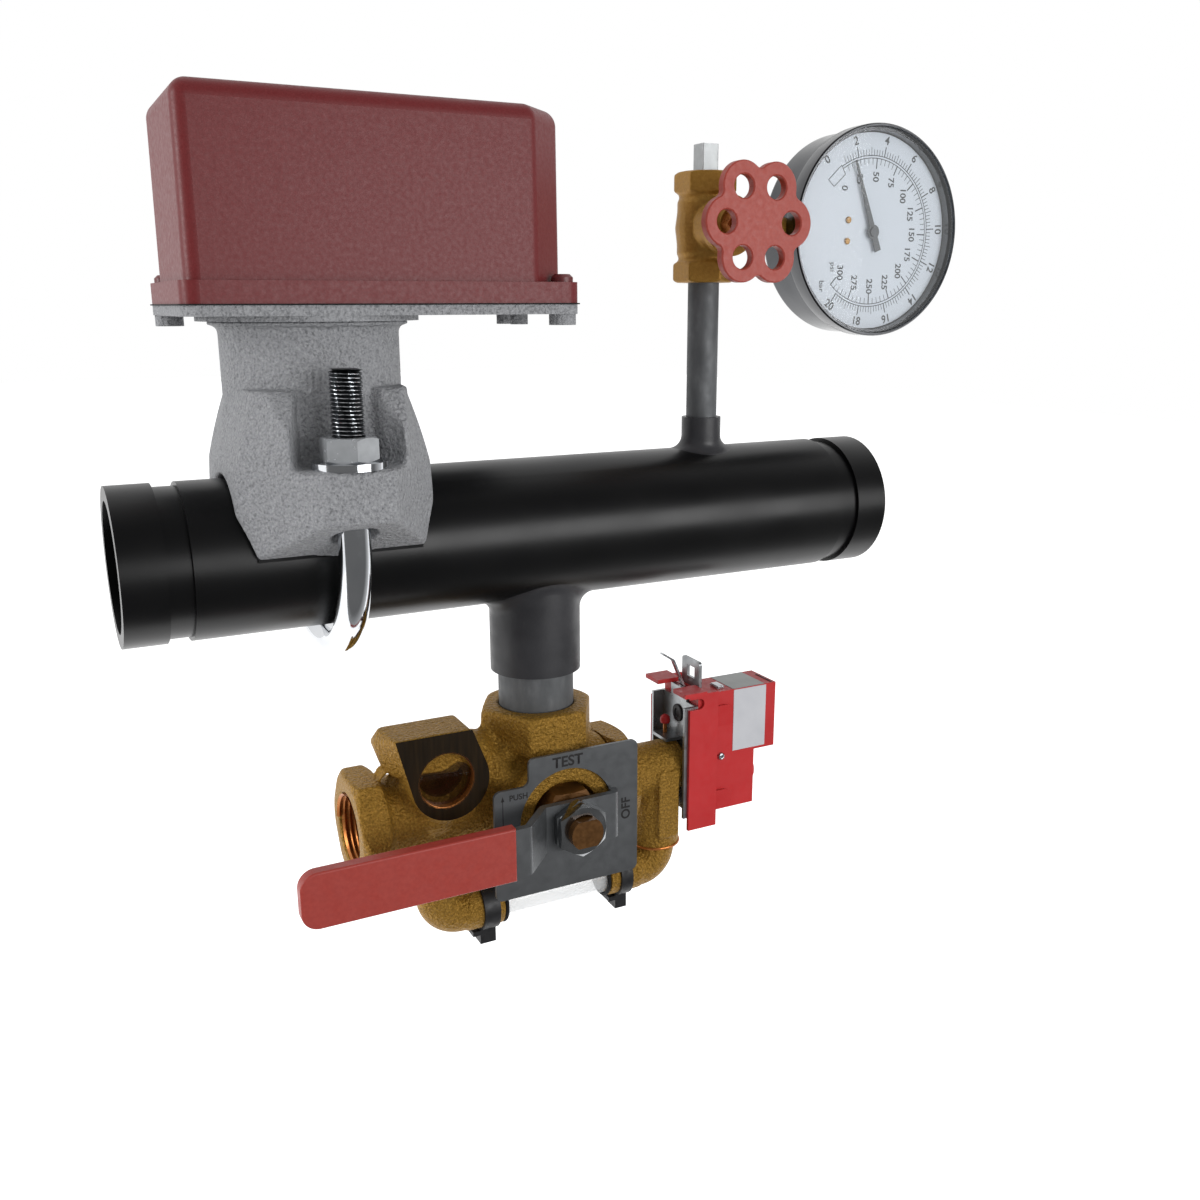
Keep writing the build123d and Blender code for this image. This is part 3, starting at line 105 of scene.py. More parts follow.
def bumps(made, *layers):
    """Surface relief: each layer is a pattern and its height in metres."""
    tree = made.node_tree
    last = None
    for pattern, height in layers:
        bump = tree.nodes.new("ShaderNodeBump")
        bump.inputs["Strength"].default_value = 1.0
        bump.inputs["Distance"].default_value = height
        tree.links.new(pattern, bump.inputs["Height"])
        if last:
            tree.links.new(last, bump.inputs["Normal"])
        last = bump.outputs["Normal"]
    tree.links.new(last, socket(made, "Normal"))


def dress(made, *nodes):
    """Gives solids of the frame their finish."""
    for node in nodes:
        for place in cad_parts[node].material_slots:
            place.material = made


enamel = coat("black_enamel", rough=0.3, shine=0.28)
tint(enamel, grain(enamel, 0.05, 5), [(0.35, "060607"), (0.7, "0B0B0C")])
wear(enamel, grain(enamel, 0.03, 6), 0.28, 0.36)
bumps(enamel, (grain(enamel, 2.2 * mm, 2), 0.006 * mm))
dress(enamel, "riser_pipe")

# Welded outlets. Two forged steel sockets, saddle-shaped at the foot, set on the pipe by a flared weld
# and painted with it. The enamel is rougher and greyer on the forgings.
forged = coat("forged_enamel", rough=0.42, shine=0.4)
tint(forged, grain(forged, 0.02, 5), [(0.35, "2B2B2E"), (0.7, "363639")])
wear(forged, grain(forged, 6 * mm, 5), 0.34, 0.48)
bumps(forged, (grain(forged, 1.2 * mm, 4), 0.02 * mm))
dress(forged, "drain_outlet", "gauge_outlet")

# Nipples. Short lengths of galvanised steel pipe, threaded into the outlets above and below. The zinc
# is dull grey with a faint spangle and light streaks down the wall.
zinc = coat("galvanised_steel", metal=0.35, rough=0.55)
tint(zinc, grain(zinc, 5 * mm, 4, (1, 1, 0.4)), [(0.3, "545658"), (0.55, "606264"), (0.75, "6E7072")])
wear(zinc, grain(zinc, 4 * mm, 4), 0.5, 0.65)
bumps(zinc, (grain(zinc, 1.5 * mm, 3), 0.015 * mm))
dress(zinc, "drain_nipple", "gauge_nipple")

# Saddle. A light grey alloy casting with a round neck, two ears and pockets for the U-bolt's nuts,
# on a thin rubber gasket. Its coat is speckled, with a strong orange peel.
cast_grey = coat("cast_grey", rough=0.62, shine=0.4)
tint(cast_grey, grain(cast_grey, 0.9 * mm, 3),
     [(0.3, "7A7B7E"), (0.42, "8F9093"), (0.6, "9C9DA0"), (0.72, "A9AAAD")])
wear(cast_grey, grain(cast_grey, 3 * mm, 4), 0.5, 0.7)
bumps(cast_grey, (grain(cast_grey, 1.8 * mm, 3), 2.2 * mm), (grain(cast_grey, 0.4 * mm, 2), 0.08 * mm))


def piece_from(name, mesh, smooth=True):
    """Puts a finished bmesh into the scene."""
    data = bpy.data.meshes.new(name)
    mesh.to_mesh(data)
    mesh.free()
    made = bpy.data.objects.new(name, data)
    bpy.context.scene.collection.objects.link(made)
    if smooth:
        data.shade_smooth()
        data.set_sharp_from_angle(angle=math.radians(35))
    return made


def fasten(piece, made_of):
    """Gives a piece its finish and its material slot, and fixes it on the body that stands still."""
    piece.data.materials.clear()
    piece.data.materials.append(made_of)
    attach(piece, "root")
    return piece


def cast_form(node, name, made_of, hulls=(), voxel=0.8 * mm, fillet=2.2 * mm, soften=None):
    """The node's solid as a sand casting: hulls of points join it, inner corners fill and edges soften."""
    mesh = bmesh.new()
    mesh.from_mesh(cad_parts[node].data)
    for points in hulls:
        bmesh.ops.convex_hull(mesh, input=[mesh.verts.new(point) for point in points])
    made = piece_from(name, mesh)
    for kind, amount in (("REMESH", 0), ("DISPLACE", fillet), ("REMESH", 0), ("DISPLACE", -fillet),
                         ("REMESH", 0), ("SMOOTH", 2)):
        step = made.modifiers.new(kind.lower(), kind)
        if kind == "REMESH":
            step.mode = "VOXEL"
            step.voxel_size = voxel
        elif kind == "DISPLACE":
            step.mid_level = 0.0
            step.strength = amount
        else:
            step.factor = 0.5
            step.iterations = amount
    shown = bpy.context.evaluated_depsgraph_get()
    data = bpy.data.meshes.new_from_object(made.evaluated_get(shown))
    made.modifiers.clear()
    if soften:
        mesh = bmesh.new()
        mesh.from_mesh(data)
        loose = [vert for vert in mesh.verts if soften(vert.co)]
        for _ in range(4):
            bmesh.ops.smooth_vert(mesh, verts=loose, factor=0.5, use_axis_x=True, use_axis_y=True,
                                  use_axis_z=True)
        mesh.to_mesh(data)
        mesh.free()
    made.data = data
    data.shade_smooth()
    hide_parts(node)
    return fasten(made, made_of)


saddle_x = 78 * mm
leg_y = 47 * mm
skin_low, skin_high = 4.5 * mm, 80 * mm
neck_clear, pipe_clear, hole_clear = 35 * mm, 33.5 * mm, 9.5 * mm
pocket_r, pocket_z = 13.5 * mm, 36 * mm


def ear_skin(point):
    """True on the ears' outer skin, away from the neck, the seat on the pipe and the bolt's floor."""
    from_neck = math.hypot(point.x - saddle_x, point.y)
    from_pipe = math.hypot(point.y, point.z)
    from_leg = math.hypot(point.x - saddle_x, abs(point.y) - leg_y)
    in_pocket = from_leg < pocket_r and point.z > pocket_z
    return (from_neck > neck_clear and skin_low < point.z < skin_high and from_pipe > pipe_clear
            and not in_pocket and from_leg > hole_clear)


saddle = cast_form("saddle_casting", "cast_saddle", cast_grey, fillet=0.7 * mm, soften=ear_skin)

# The ears belly out along the pipe. Heights are in millimetres above its axis: they are widest between
# two heights, draw in towards the foot, the top and the front, and run into the neck without a step.
belly_from, front_y, neck_r = 20 * mm, 36 * mm, 33.3 * mm
ear_foot, wide_low, wide_high, neck_foot, drawn_in, ear_top = 5, 20, 36, 50, 61, 66
belly, top_draw, front_draw = 0.1, 0.24, 0.4


def share(value, low, high):
    """How far a value is on its way from one limit to another, 0 to 1."""
    return max(0.0, min(1.0, (value - low) / (high - low)))


for vert in saddle.data.vertices:
    out = abs(vert.co.x - saddle_x) - belly_from
    height = vert.co.z / mm
    if out <= 0 or height >= ear_top:
        continue
    widen = 1.0 + belly * share(height, ear_foot, wide_low)
    widen -= top_draw * share(height, wide_high, drawn_in)
    widen -= front_draw * share(abs(vert.co.y), 0, front_y) * share(height, wide_low, drawn_in) ** 2
    reach = belly_from + out * widen
    if height > neck_foot:
        neck_side = math.sqrt(max(0.0, neck_r ** 2 - vert.co.y ** 2))
        reach = max(reach, min(belly_from + out, neck_side))
    vert.co.x = saddle_x + math.copysign(reach, vert.co.x - saddle_x)

rubber = coat("black_rubber", rough=0.75, shine=0.3)
tint(rubber, grain(rubber, 3 * mm, 4), [(0.35, "121213"), (0.7, "1E1E1F")])
bumps(rubber, (grain(rubber, 0.6 * mm, 3), 0.02 * mm))
dress(rubber, "saddle_gasket", "cover_gasket", "tube_seals", "gauge_valve_disc", "relief_poppet")

# U-bolt. A bright chromed steel bar bent round under the pipe, with a rolled thread on both legs, and
# a washer and chamfered nut on each. The plate is mirror smooth; the thread's grooves are rougher and
# coloured dark steel, which is painted shade in the grooves.
chrome = coat("bright_chrome", metal=1.0, rough=0.07)
tint(chrome, grain(chrome, 0.02, 3), [(0.3, "C9CCD0"), (0.7, "DADCDF")])
wear(chrome, grain(chrome, 3 * mm, 5), 0.04, 0.11)
bumps(chrome, (grain(chrome, 2.5 * mm, 2), 0.004 * mm))
dress(chrome, "u_bolt_washers")
nut_zinc = coat("nut_zinc", metal=0.55, rough=0.22)
tint(nut_zinc, grain(nut_zinc, 4 * mm, 3), [(0.3, "B6B9BC"), (0.7, "C4C7CA")])
wear(nut_zinc, grain(nut_zinc, 2 * mm, 4), 0.16, 0.28)
dress(nut_zinc, "u_bolt_nuts")
# Dark steel for the faces in the thread's grooves: painted shade, darker than the chrome crests.
thread_groove_shade = coat("thread_groove_shade", metal=1.0, rough=0.35)
tint(thread_groove_shade, grain(thread_groove_shade, 1 * mm, 3), [(0.3, "2C2E31"), (0.7, "424548")])

bar_r = 6.0 * mm
bend_z = 9.0 * mm
bolt_top = 72.0 * mm
pitch = 1.4 * mm
thread_foot = 38.0 * mm
thread_depth = 0.75 * mm
end_chamfer = 1.5 * mm


def tube_mesh(name, rings, closed_ends=True):
    """Mesh through rings of points, each ring with the same count."""
    mesh = bmesh.new()
    rows = [[mesh.verts.new(point) for point in ring] for ring in rings]
    count = len(rows[0])
    for low, high in zip(rows, rows[1:]):
        for i in range(count):
            j = (i + 1) % count
            mesh.faces.new((low[i], low[j], high[j], high[i]))
    if closed_ends:
        mesh.faces.new(list(reversed(rows[0])))
        mesh.faces.new(rows[-1])
    bmesh.ops.recalc_face_normals(mesh, faces=mesh.faces)
    return piece_from(name, mesh)


def threaded_radius(turn, height):
    """Radius of a rolled thread at an angle (in turns) and a height."""
    if height < thread_foot:
        return bar_r
    wave = (height / pitch - turn) % 1.0
    depth = thread_depth * min(1.0, (height - thread_foot) / (2 * mm))
    if height > bolt_top - end_chamfer:
        depth += 1.2 * (height - bolt_top + end_chamfer)
    return bar_r - depth * (1 - abs(2 * wave - 1))


def leg_ring(side, height, sides=40):
    """Ring of points round one leg, its side -1 in front and 1 behind."""
    ring = []
    for i in range(sides):
        angle = 2 * math.pi * i / sides
        radius = threaded_radius(i / sides, height)
        ring.append((saddle_x + radius * math.cos(angle), side * (leg_y + radius * math.sin(angle)), height))
    return ring


def bend_ring(turn, sides=40):
    """Ring of points round the bar where it bends under the pipe."""
    out = Vector((0, -math.cos(turn), -math.sin(turn)))
    centre = Vector((saddle_x, 0, bend_z)) + out * leg_y
    angles = [2 * math.pi * i / sides for i in range(sides)]
    return [tuple(centre + Vector((1, 0, 0)) * bar_r * math.cos(a) + out * bar_r * math.sin(a)) for a in angles]


plain_steps, thread_steps, bend_steps = 4, 240, 48
heights = [bend_z + (thread_foot - bend_z) * i / plain_steps for i in range(plain_steps)]
heights += [thread_foot + (bolt_top - thread_foot) * i / thread_steps for i in range(thread_steps + 1)]
bar_rings = [leg_ring(-1, height) for height in reversed(heights)]
bar_rings += [bend_ring(math.pi * k / bend_steps) for k in range(1, bend_steps)]
bar_rings += [leg_ring(1, height) for height in heights]
u_bolt = tube_mesh("u_bolt_bar", bar_rings)
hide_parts("u_bolt")
fasten(u_bolt, chrome)
# Faces sunk below the crests take the dark steel: painted shade in the thread's grooves.
u_bolt.data.materials.append(thread_groove_shade)
for face in u_bolt.data.polygons:
    across = face.center - Vector((saddle_x, math.copysign(leg_y, face.center.y), face.center.z))
    if face.center.z > thread_foot and across.length < bar_r - 0.2 * mm:
        face.material_index = 1

# Switch housing. A flat cast plate sits on the saddle's neck, a black gasket lies on it, and a pressed
# cover in textured maroon enamel is held down by two dark red screws; small bolts stand under the plate.
maroon = coat("maroon_texture", rough=0.5, shine=0.32)
tint(maroon, grain(maroon, 0.6 * mm, 3), [(0.3, "662022"), (0.55, "6C2426"), (0.75, "72292B")])
wear(maroon, grain(maroon, 1.5 * mm, 4), 0.36, 0.5)
bumps(maroon, (grain(maroon, 0.9 * mm, 2), 0.022 * mm))
dress(maroon, "switch_cover")


def ease(node, radius, steps=2):
    """Breaks a solid's sharp edges, as a casting or a deburred part has them."""
    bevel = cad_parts[node].modifiers.new("eased", "BEVEL")
    bevel.width = radius
    bevel.segments = steps
    bevel.limit_method = "ANGLE"
    bevel.angle_limit = math.radians(40)
    bevel.harden_normals = False


ease("switch_cover", 0.5 * mm)
maroon_screw = coat("maroon_screw", rough=0.4)
tint(maroon_screw, grain(maroon_screw, 1.2 * mm, 3), [(0.3, "5A2224"), (0.7, "702C2E")])
bumps(maroon_screw, (grain(maroon_screw, 0.8 * mm, 3), 0.02 * mm))
dress(maroon_screw, "cover_screws")
ease("cover_screws", 0.6 * mm, 3)
dress(cast_grey, "switch_base_plate", "base_plate_bolts")
ease("base_plate_bolts", 0.5 * mm)

# Inside the switch. A moulded vane on a turned stem swings in the pipe on a steel pin; above it a
# sheet-steel frame holds two snap switches and the moulded retard unit with its plunger.
moulded_black = coat("moulded_black", rough=0.5, shine=0.4)
tint(moulded_black, grain(moulded_black, 4 * mm, 4), [(0.35, "161618"), (0.7, "222225")])
wear(moulded_black, grain(moulded_black, 3 * mm, 4), 0.4, 0.6)
bumps(moulded_black, (grain(moulded_black, 0.5 * mm, 2), 0.01 * mm))
dress(moulded_black, "flow_vane", "retard_unit", "snap_switches", "tube_clips")
moulded_white = coat("moulded_white", rough=0.45)
tint(moulded_white, grain(moulded_white, 5 * mm, 4), [(0.35, "D2D1CA"), (0.7, "E2E1DC")])
bumps(moulded_white, (grain(moulded_white, 0.6 * mm, 2), 0.01 * mm))
dress(moulded_white, "retard_plunger", "ball_seats")
dress(zinc, "switch_frame")
steel = coat("bright_steel", metal=1.0, rough=0.25)
tint(steel, grain(steel, 8 * mm, 5), [(0.3, "A9ACAF"), (0.7, "C2C5C8")])
wear(steel, grain(steel, 2 * mm, 5), 0.16, 0.32)
bumps(steel, (grain(steel, 1.0 * mm, 3), 0.006 * mm))
dress(steel, "vane_pivot_pin", "ball")

# Gauge valve. A small angle valve turned and forged in yellow brass: hexagon ends, a round barrel, a
# screwed bonnet with its packing gland, and a square-head zinc plug in the spare port on top.
brass = coat("forged_brass", metal=0.5, rough=0.42)
tint(brass, grain(brass, 1.5 * mm, 4), [(0.3, "9A7029"), (0.55, "A67B31"), (0.75, "B0863B")])
wear(brass, grain(brass, 1.5 * mm, 5), 0.38, 0.5)
bumps(brass, (grain(brass, 0.6 * mm, 2), 0.16 * mm))
dress(brass, "gauge_valve_bonnet", "gauge_valve_stem", "gauge_socket", "gauge_movement", "vane_stem")
gauge_x = 253.3 * mm
gauge_z = 125.2 * mm
barrel_sides = 24
barrel = []
for k in range(barrel_sides):
    turn = 2 * math.pi * k / barrel_sides
    barrel.append([Vector((gauge_x + r * mm * math.cos(turn), r * mm * math.sin(turn), gauge_z + z * mm))
                   for r, z in ((9.8, -12), (12.0, -7), (12.9, 0), (12.0, 7), (9.8, 12), (8.8, 9), (8.8, -9))])
staves = [barrel[k] + barrel[(k + 1) % barrel_sides] for k in range(barrel_sides)]
cast_form("gauge_valve_body", "forged_valve_body", brass, hulls=staves, voxel=0.4 * mm,
          fillet=1.0 * mm)
copper = coat("copper_alloy", metal=0.7, rough=0.3)
tint(copper, grain(copper, 5 * mm, 5), [(0.3, "A5622A"), (0.7, "B8743A")])
wear(copper, grain(copper, 1.5 * mm, 5), 0.22, 0.42)
bumps(copper, (grain(copper, 0.7 * mm, 3), 0.015 * mm))
dress(copper, "gauge_valve_gland", "bourdon_tube")
plug_zinc = coat("plug_zinc", metal=0.6, rough=0.42)
tint(plug_zinc, grain(plug_zinc, 3 * mm, 4), [(0.3, "A2A5A6"), (0.7, "ADB0B1")])
bumps(plug_zinc, (grain(plug_zinc, 0.8 * mm, 3), 0.03 * mm))
dress(plug_zinc, "test_port_plug")
ease("test_port_plug", 0.5 * mm)

# Handwheel. A six-lobed pressed wheel with six round holes, dipped in coral red enamel that runs thin
# at its edges, held on the spindle behind it.
wheel_red = coat("wheel_red", rough=0.45, shine=0.4)
tint(wheel_red, grain(wheel_red, 0.9 * mm, 3), [(0.3, "9A3B30"), (0.7, "A24236")])
wear(wheel_red, grain(wheel_red, 2 * mm, 4), 0.38, 0.55)
bumps(wheel_red, (grain(wheel_red, 1.2 * mm, 2), 0.012 * mm))
dress(wheel_red, "handwheel")
ease("handwheel", 0.4 * mm)

# Gauge. A 3-1/2 inch gauge in a polished dark steel case with a rolled bezel and a flat glass. The
# white dial is printed in dark grey, turned a quarter so that its top points away from the valve.
case_metal = coat("gauge_case_metal", metal=1.0, rough=0.2)
tint(case_metal, grain(case_metal, 0.02, 4), [(0.3, "4A4B4D"), (0.7, "58595B")])
wear(case_metal, grain(case_metal, 5 * mm, 5, (0.3, 1, 1)), 0.16, 0.26)
bumps(case_metal, (grain(case_metal, 2 * mm, 3), 0.008 * mm))
dress(case_metal, "gauge_case")
glass = coat("gauge_glass", rough=0.03)
tint(glass, grain(glass, 0.03, 2), [(0.3, "F2F5F7"), (0.7, "FAFCFD")])
socket(glass, "Alpha").default_value = 0.06
dress(glass, "gauge_lens")
dial_white = coat("dial_white", rough=0.5, shine=0.3)
tint(dial_white, grain(dial_white, 0.8 * mm, 3), [(0.3, "C3CBD4"), (0.7, "CDD5DE")])
bumps(dial_white, (grain(dial_white, 0.6 * mm, 2), 0.004 * mm))
dress(dial_white, "gauge_dial")
pointer_grey = coat("pointer_grey", rough=0.45)
tint(pointer_grey, grain(pointer_grey, 1 * mm, 3), [(0.3, "3C4043"), (0.7, "474B4F")])
dress(pointer_grey, "gauge_pointer")
print_grey = coat("print_grey", rough=0.55)
tint(print_grey, grain(print_grey, 0.5 * mm, 3), [(0.3, "2E3235"), (0.7, "3A3F42")])

dial_x = 339.2 * mm
print_y = -8.06 * mm
zero_turn = 48.5
per_bar = 12.8
bar_per_psi = 0.0689476
bar_arc = 33.4 * mm
psi_arc = 32.3 * mm
line_w = 0.35 * mm


def on_dial(radius, turn):
    """Point on the dial: the turn is in degrees clockwise from the side that faces the valve."""
    return Vector((dial_x - radius * math.cos(math.radians(turn)), print_y,
                   gauge_z + radius * math.sin(math.radians(turn))))


def stroke(mesh, start, end, width):
    """Flat bar between two points of the dial's face."""
    side = (end - start).cross(Vector((0, 1, 0))).normalized() * width / 2
    mesh.faces.new([mesh.verts.new(p) for p in (start - side, start + side, end + side, end - side)])


def arc_line(mesh, radius, start, stop, width):
    """Arc on the dial's face from one turn to another."""
    steps = 150
    turns = [start + (stop - start) * i / steps for i in range(steps + 1)]
    inner = [mesh.verts.new(on_dial(radius - width / 2, t)) for t in turns]
    outer = [mesh.verts.new(on_dial(radius + width / 2, t)) for t in turns]
    for i in range(steps):
        mesh.faces.new((inner[i], inner[i + 1], outer[i + 1], outer[i]))


def bar_turn(bar):
    """Turn of a pressure on the scale."""
    return zero_turn + bar * per_bar


def face_front(mesh):
    """Turns flat print towards the front."""
    for face in mesh.faces:
        face.normal_update()
        if face.normal.y > 0:
            face.normal_flip()


def ring_facing(x, z, y, radius, sides):
    """Ring of points that faces the front, round a centre in metres."""
    angles = [2 * math.pi * k / sides for k in range(sides)]
    return [(x + radius * math.cos(a), y, z + radius * math.sin(a)) for a in angles]


rolled_bezel = tube_mesh("rolled_bezel", [ring_facing(dial_x, gauge_z, y * mm, r * mm, 120) for r, y in (
    (45.3, -5.6), (45.3, -13.4), (45.5, -13.95), (46.1, -13.95), (46.7, -13.3), (46.7, -6.2), (46.5, -5.6),
    (45.3, -5.6))], closed_ends=False)
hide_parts("gauge_bezel")
fasten(rolled_bezel, case_metal)

# Both scales start at the zero box. Marks stand outside the arcs for every 0.2 bar and inside them for
# every 5 psi, and are longer and wider at each number.
marks = bmesh.new()
box_start, box_end = 40.3, 56.5
box_low, box_high = 29.6 * mm, 34.0 * mm
arc_line(marks, bar_arc, box_end, bar_turn(20), line_w)
arc_line(marks, psi_arc, box_end, bar_turn(300 * bar_per_psi), line_w)
for step in range(5, 101):
    turn = bar_turn(step * 0.2)
    length, width = (4.4, 0.5) if step % 10 == 0 else (3.6, 0.28) if step % 5 == 0 else (2.6, 0.28)
    stroke(marks, on_dial(bar_arc, turn), on_dial(bar_arc + length * mm, turn), width * mm)
for step in range(3, 61):
    turn = bar_turn(step * 5 * bar_per_psi)
    length, width = (4.6, 0.55) if step % 5 == 0 else (2.7, 0.28)
    stroke(marks, on_dial(psi_arc, turn), on_dial(psi_arc - length * mm, turn), width * mm)
corners = [on_dial(box_high, box_end), on_dial(box_low, box_end),
           on_dial(box_low - 0.1 * mm, box_start), on_dial(box_high - 0.1 * mm, box_start)]
for a, b in zip(corners, corners[1:] + corners[:1]):
    stroke(marks, a, b, line_w)
face_front(marks)
fasten(piece_from("dial_marks", marks, smooth=False), print_grey)


def lettering(name, words, height, middle, right, up, made_of, weight=0.012):
    """Printed words as flat meshes, centred on a point, in a height from foot to cap."""
    cap_share = 0.72
    text = bpy.data.curves.new(name, "FONT")
    text.body = words
    text.size = height / cap_share
    text.offset = height * weight
    text.align_x = "CENTER"
    text.align_y = "CENTER"
    shown = bpy.data.objects.new(name + "_text", text)
    bpy.context.scene.collection.objects.link(shown)
    bpy.context.view_layer.update()
    data = bpy.data.meshes.new_from_object(shown)
    bpy.data.objects.remove(shown)
    data.name = name
    right, up = Vector(right).normalized(), Vector(up).normalized()
    out = right.cross(up)
    turn = Matrix((right, up, out)).transposed().to_4x4()
    data.transform(Matrix.Translation(middle) @ turn)
    printed = bpy.data.objects.new(name, data)
    bpy.context.scene.collection.objects.link(printed)
    fasten(printed, made_of)


for bar in range(0, 21, 2):
    turn = bar_turn(bar)
    outward = on_dial(1, turn) - on_dial(0, turn)
    top = outward if bar < 17 else -outward
    lettering(f"bar_{bar}", str(bar), 3.7 * mm, on_dial(40.5 * mm if bar < 20 else 39.6 * mm, turn),
              top.cross(Vector((0, -1, 0))), top, print_grey, weight=0.03)
for psi in [0] + list(range(25, 301, 25)):
    turn = bar_turn(psi * bar_per_psi)
    lettering(f"psi_{psi}", str(psi), 3.3 * mm, on_dial(24.3 * mm if 0 < psi < 300 else 25.0 * mm, turn),
              (0, 0, -1), (1, 0, 0), print_grey, weight=0.03)
lettering("psi_word", "psi", 2.8 * mm, on_dial(26.6 * mm, -36.4), (0, 0, -1), (1, 0, 0), print_grey)
lettering("bar_word", "bar", 2.8 * mm, on_dial(36.6 * mm, -41.5), (0, 0, -1), (1, 0, 0), print_grey)

# Dial screws. Two small cheese-head brass screws that hold the dial to the movement, turned with a
# slightly domed head.
for name, turn in (("dial_screw_1", 20.1), ("dial_screw_2", -17.1)):
    centre = on_dial(14.5 * mm, turn)
    screw = tube_mesh(name, [ring_facing(centre.x, centre.z, print_y - y * mm, r * mm, 24) for y, r in (
        (0, 1.5), (0.5, 1.5), (0.8, 1.2), (0.85, 0.0001))], closed_ends=False)
    fasten(screw, brass)

# Test-and-drain valve. A sand-cast brass body with a ball in it: hexagon inlet on top, hexagon outlet
# with a pipe thread at the left, a chamber with a round sight glass, and a screwed tailpiece at the right.
cast_brass = coat("sand_cast_brass", metal=0.5, rough=0.45, shine=0.4)
tint(cast_brass, grain(cast_brass, 0.9 * mm, 3), [(0.3, "7E5E1C"), (0.55, "9B7429"), (0.75, "B28A3C")])
wear(cast_brass, grain(cast_brass, 1.2 * mm, 4), 0.42, 0.58)
bumps(cast_brass, (grain(cast_brass, 1.5 * mm, 3), 1.5 * mm), (grain(cast_brass, 0.35 * mm, 2), 0.08 * mm))
dress(cast_brass, "valve_tailpiece")
drain_x = 169 * mm


def at_valve(x, y, z):
    """Point given in millimetres, its x counted from the drain's axis."""
    return Vector((drain_x + x * mm, y * mm, z * mm))


def ball_of(centre, radii):
    """Points of a lump's surface, with its radius along each axis in millimetres."""
    around = [math.radians(20 * k) for k in range(18)]
    up_and_down = [math.radians(18 * k) for k in range(-5, 6)]
    return [centre + Vector((radii[0] * math.cos(a) * math.cos(b), radii[1] * math.sin(a) * math.cos(b),
                             radii[2] * math.sin(b))) * mm for a in around for b in up_and_down]


# The body swells behind the sight boss, and in three lumps between it and the ball's chamber.
boss_back = [at_valve(x, y, z) for x, y, z in (
    (-72.9, -23.0, -77.6), (-73.9, -3.1, -77.6), (-40.5, -3.1, -77.6), (-39.8, -23.0, -77.6), (-77.3, -6, -83.0),
    (-76.6, 1, -84.0), (-73.5, -5, -95.7), (-71.0, -14, -97.0), (-69.0, -23.0, -92.0), (-70.0, 4, -97.0),
    (-45.0, 2, -97.0), (-45.0, -20, -97.0))]
cast_form("drain_valve_body", "cast_valve_body", cast_brass, fillet=1.8 * mm, hulls=(
    boss_back, ball_of(at_valve(-55, -12, -118), (9, 11, 8)), ball_of(at_valve(-33, -6, -95), (8, 12, 10)),
    ball_of(at_valve(-24, -8, -104), (10, 12, 11))))
cast_form("relief_tee", "cast_relief_tee", cast_brass, voxel=0.5 * mm, fillet=1.0 * mm)
cast_form("loop_elbows", "cast_loop_elbows", cast_brass, voxel=0.5 * mm, fillet=0.8 * mm)

# Sight window. The boss's face is milled flat and has gone dark brown, with faint vertical tool marks;
# a thick round glass sits in a bright copper-coloured bore behind it.
milled = coat("milled_brass", metal=0.1, rough=0.45, shine=0.15)
tint(milled, grain(milled, 1.6 * mm, 4, (1, 1, 0.06)), [(0.3, "150D03"), (0.55, "211606"), (0.75, "2B1E0B")])
wear(milled, grain(milled, 1.2 * mm, 4, (1, 1, 0.1)), 0.34, 0.5)
bumps(milled, (grain(milled, 0.8 * mm, 2, (1, 1, 0.05)), 0.01 * mm))
boss_face = -24.06
window_x, window_z, window_r = -51.7, -98.0, 11.9


def circle(x, z, radius, sides=72):
    """Points of a circle on the face, in millimetres."""
    turns = [2 * math.pi * k / sides for k in range(sides)]
    return [Vector((x + radius * math.cos(t), z + radius * math.sin(t))) for t in turns]


outline = [Vector((-72.9, -77.6)), Vector((-39.8, -77.6))] + circle(-49.8, -99, 17.0)
outline = [outline[i] for i in geometry.convex_hull_2d(outline)]
window = circle(window_x, window_z, window_r)
face_mesh = bmesh.new()
corners = [face_mesh.verts.new(at_valve(p.x, boss_face, p.y)) for p in outline + window]
loops = [[(p.x, p.y, 0) for p in outline], [(p.x, p.y, 0) for p in window]]
for triangle in geometry.tessellate_polygon(loops):
    face_mesh.faces.new([corners[i] for i in triangle])
face_front(face_mesh)
fasten(piece_from("milled_face", face_mesh, smooth=False), milled)


def ring_at(x, z, y, radius, sides=48):
    """Ring of points that faces the front, in millimetres, its x counted from the drain's axis."""
    return ring_facing(drain_x + x * mm, z * mm, y * mm, radius * mm, sides)


sight_bore = tube_mesh("sight_bore", [ring_at(window_x, window_z, y, r) for y, r in (
    (boss_face - 0.02, 12.3), (boss_face + 0.2, 11.8), (-21.2, 11.7), (-15.8, 11.7), (-15.0, 11.0),
    (-6.0, 11.0))], closed_ends=False)
fasten(sight_bore, copper)
dark_glass = coat("sight_glass_dark", rough=0.04)
tint(dark_glass, grain(dark_glass, 4 * mm, 3), [(0.3, "1A0E05"), (0.7, "24150A")])
socket(dark_glass, "Alpha").default_value = 0.5
dress(dark_glass, "sight_glass")

# Outlet thread. A pipe thread cut in the brass bore of the outlet at the left; the fresh cut shows the
# alloy's copper colour, and runs six turns from the mouth inwards.
thread_turns, thread_pitch, bore_r, crest = 6, 2.2, 15.55, 0.9
thread_from, outlet_z = -87.7, -122.3
steps = 36
thread = bmesh.new()
last = None
for k in range(thread_turns * steps + 1):
    angle = 2 * math.pi * k / steps
    along = thread_from + thread_pitch * k / steps
    row = [thread.verts.new(at_valve(along + shift, r * math.cos(angle), outlet_z + r * math.sin(angle)))
           for shift, r in ((-1.05, bore_r), (-0.15, bore_r - crest), (0.15, bore_r - crest), (1.05, bore_r))]
    if last:
        for low, high, next_low, next_high in zip(last, last[1:], row, row[1:]):
            thread.faces.new((low, high, next_high, next_low))
    last = row
bmesh.ops.recalc_face_normals(thread, faces=thread.faces)
fasten(piece_from("outlet_thread", thread), copper)

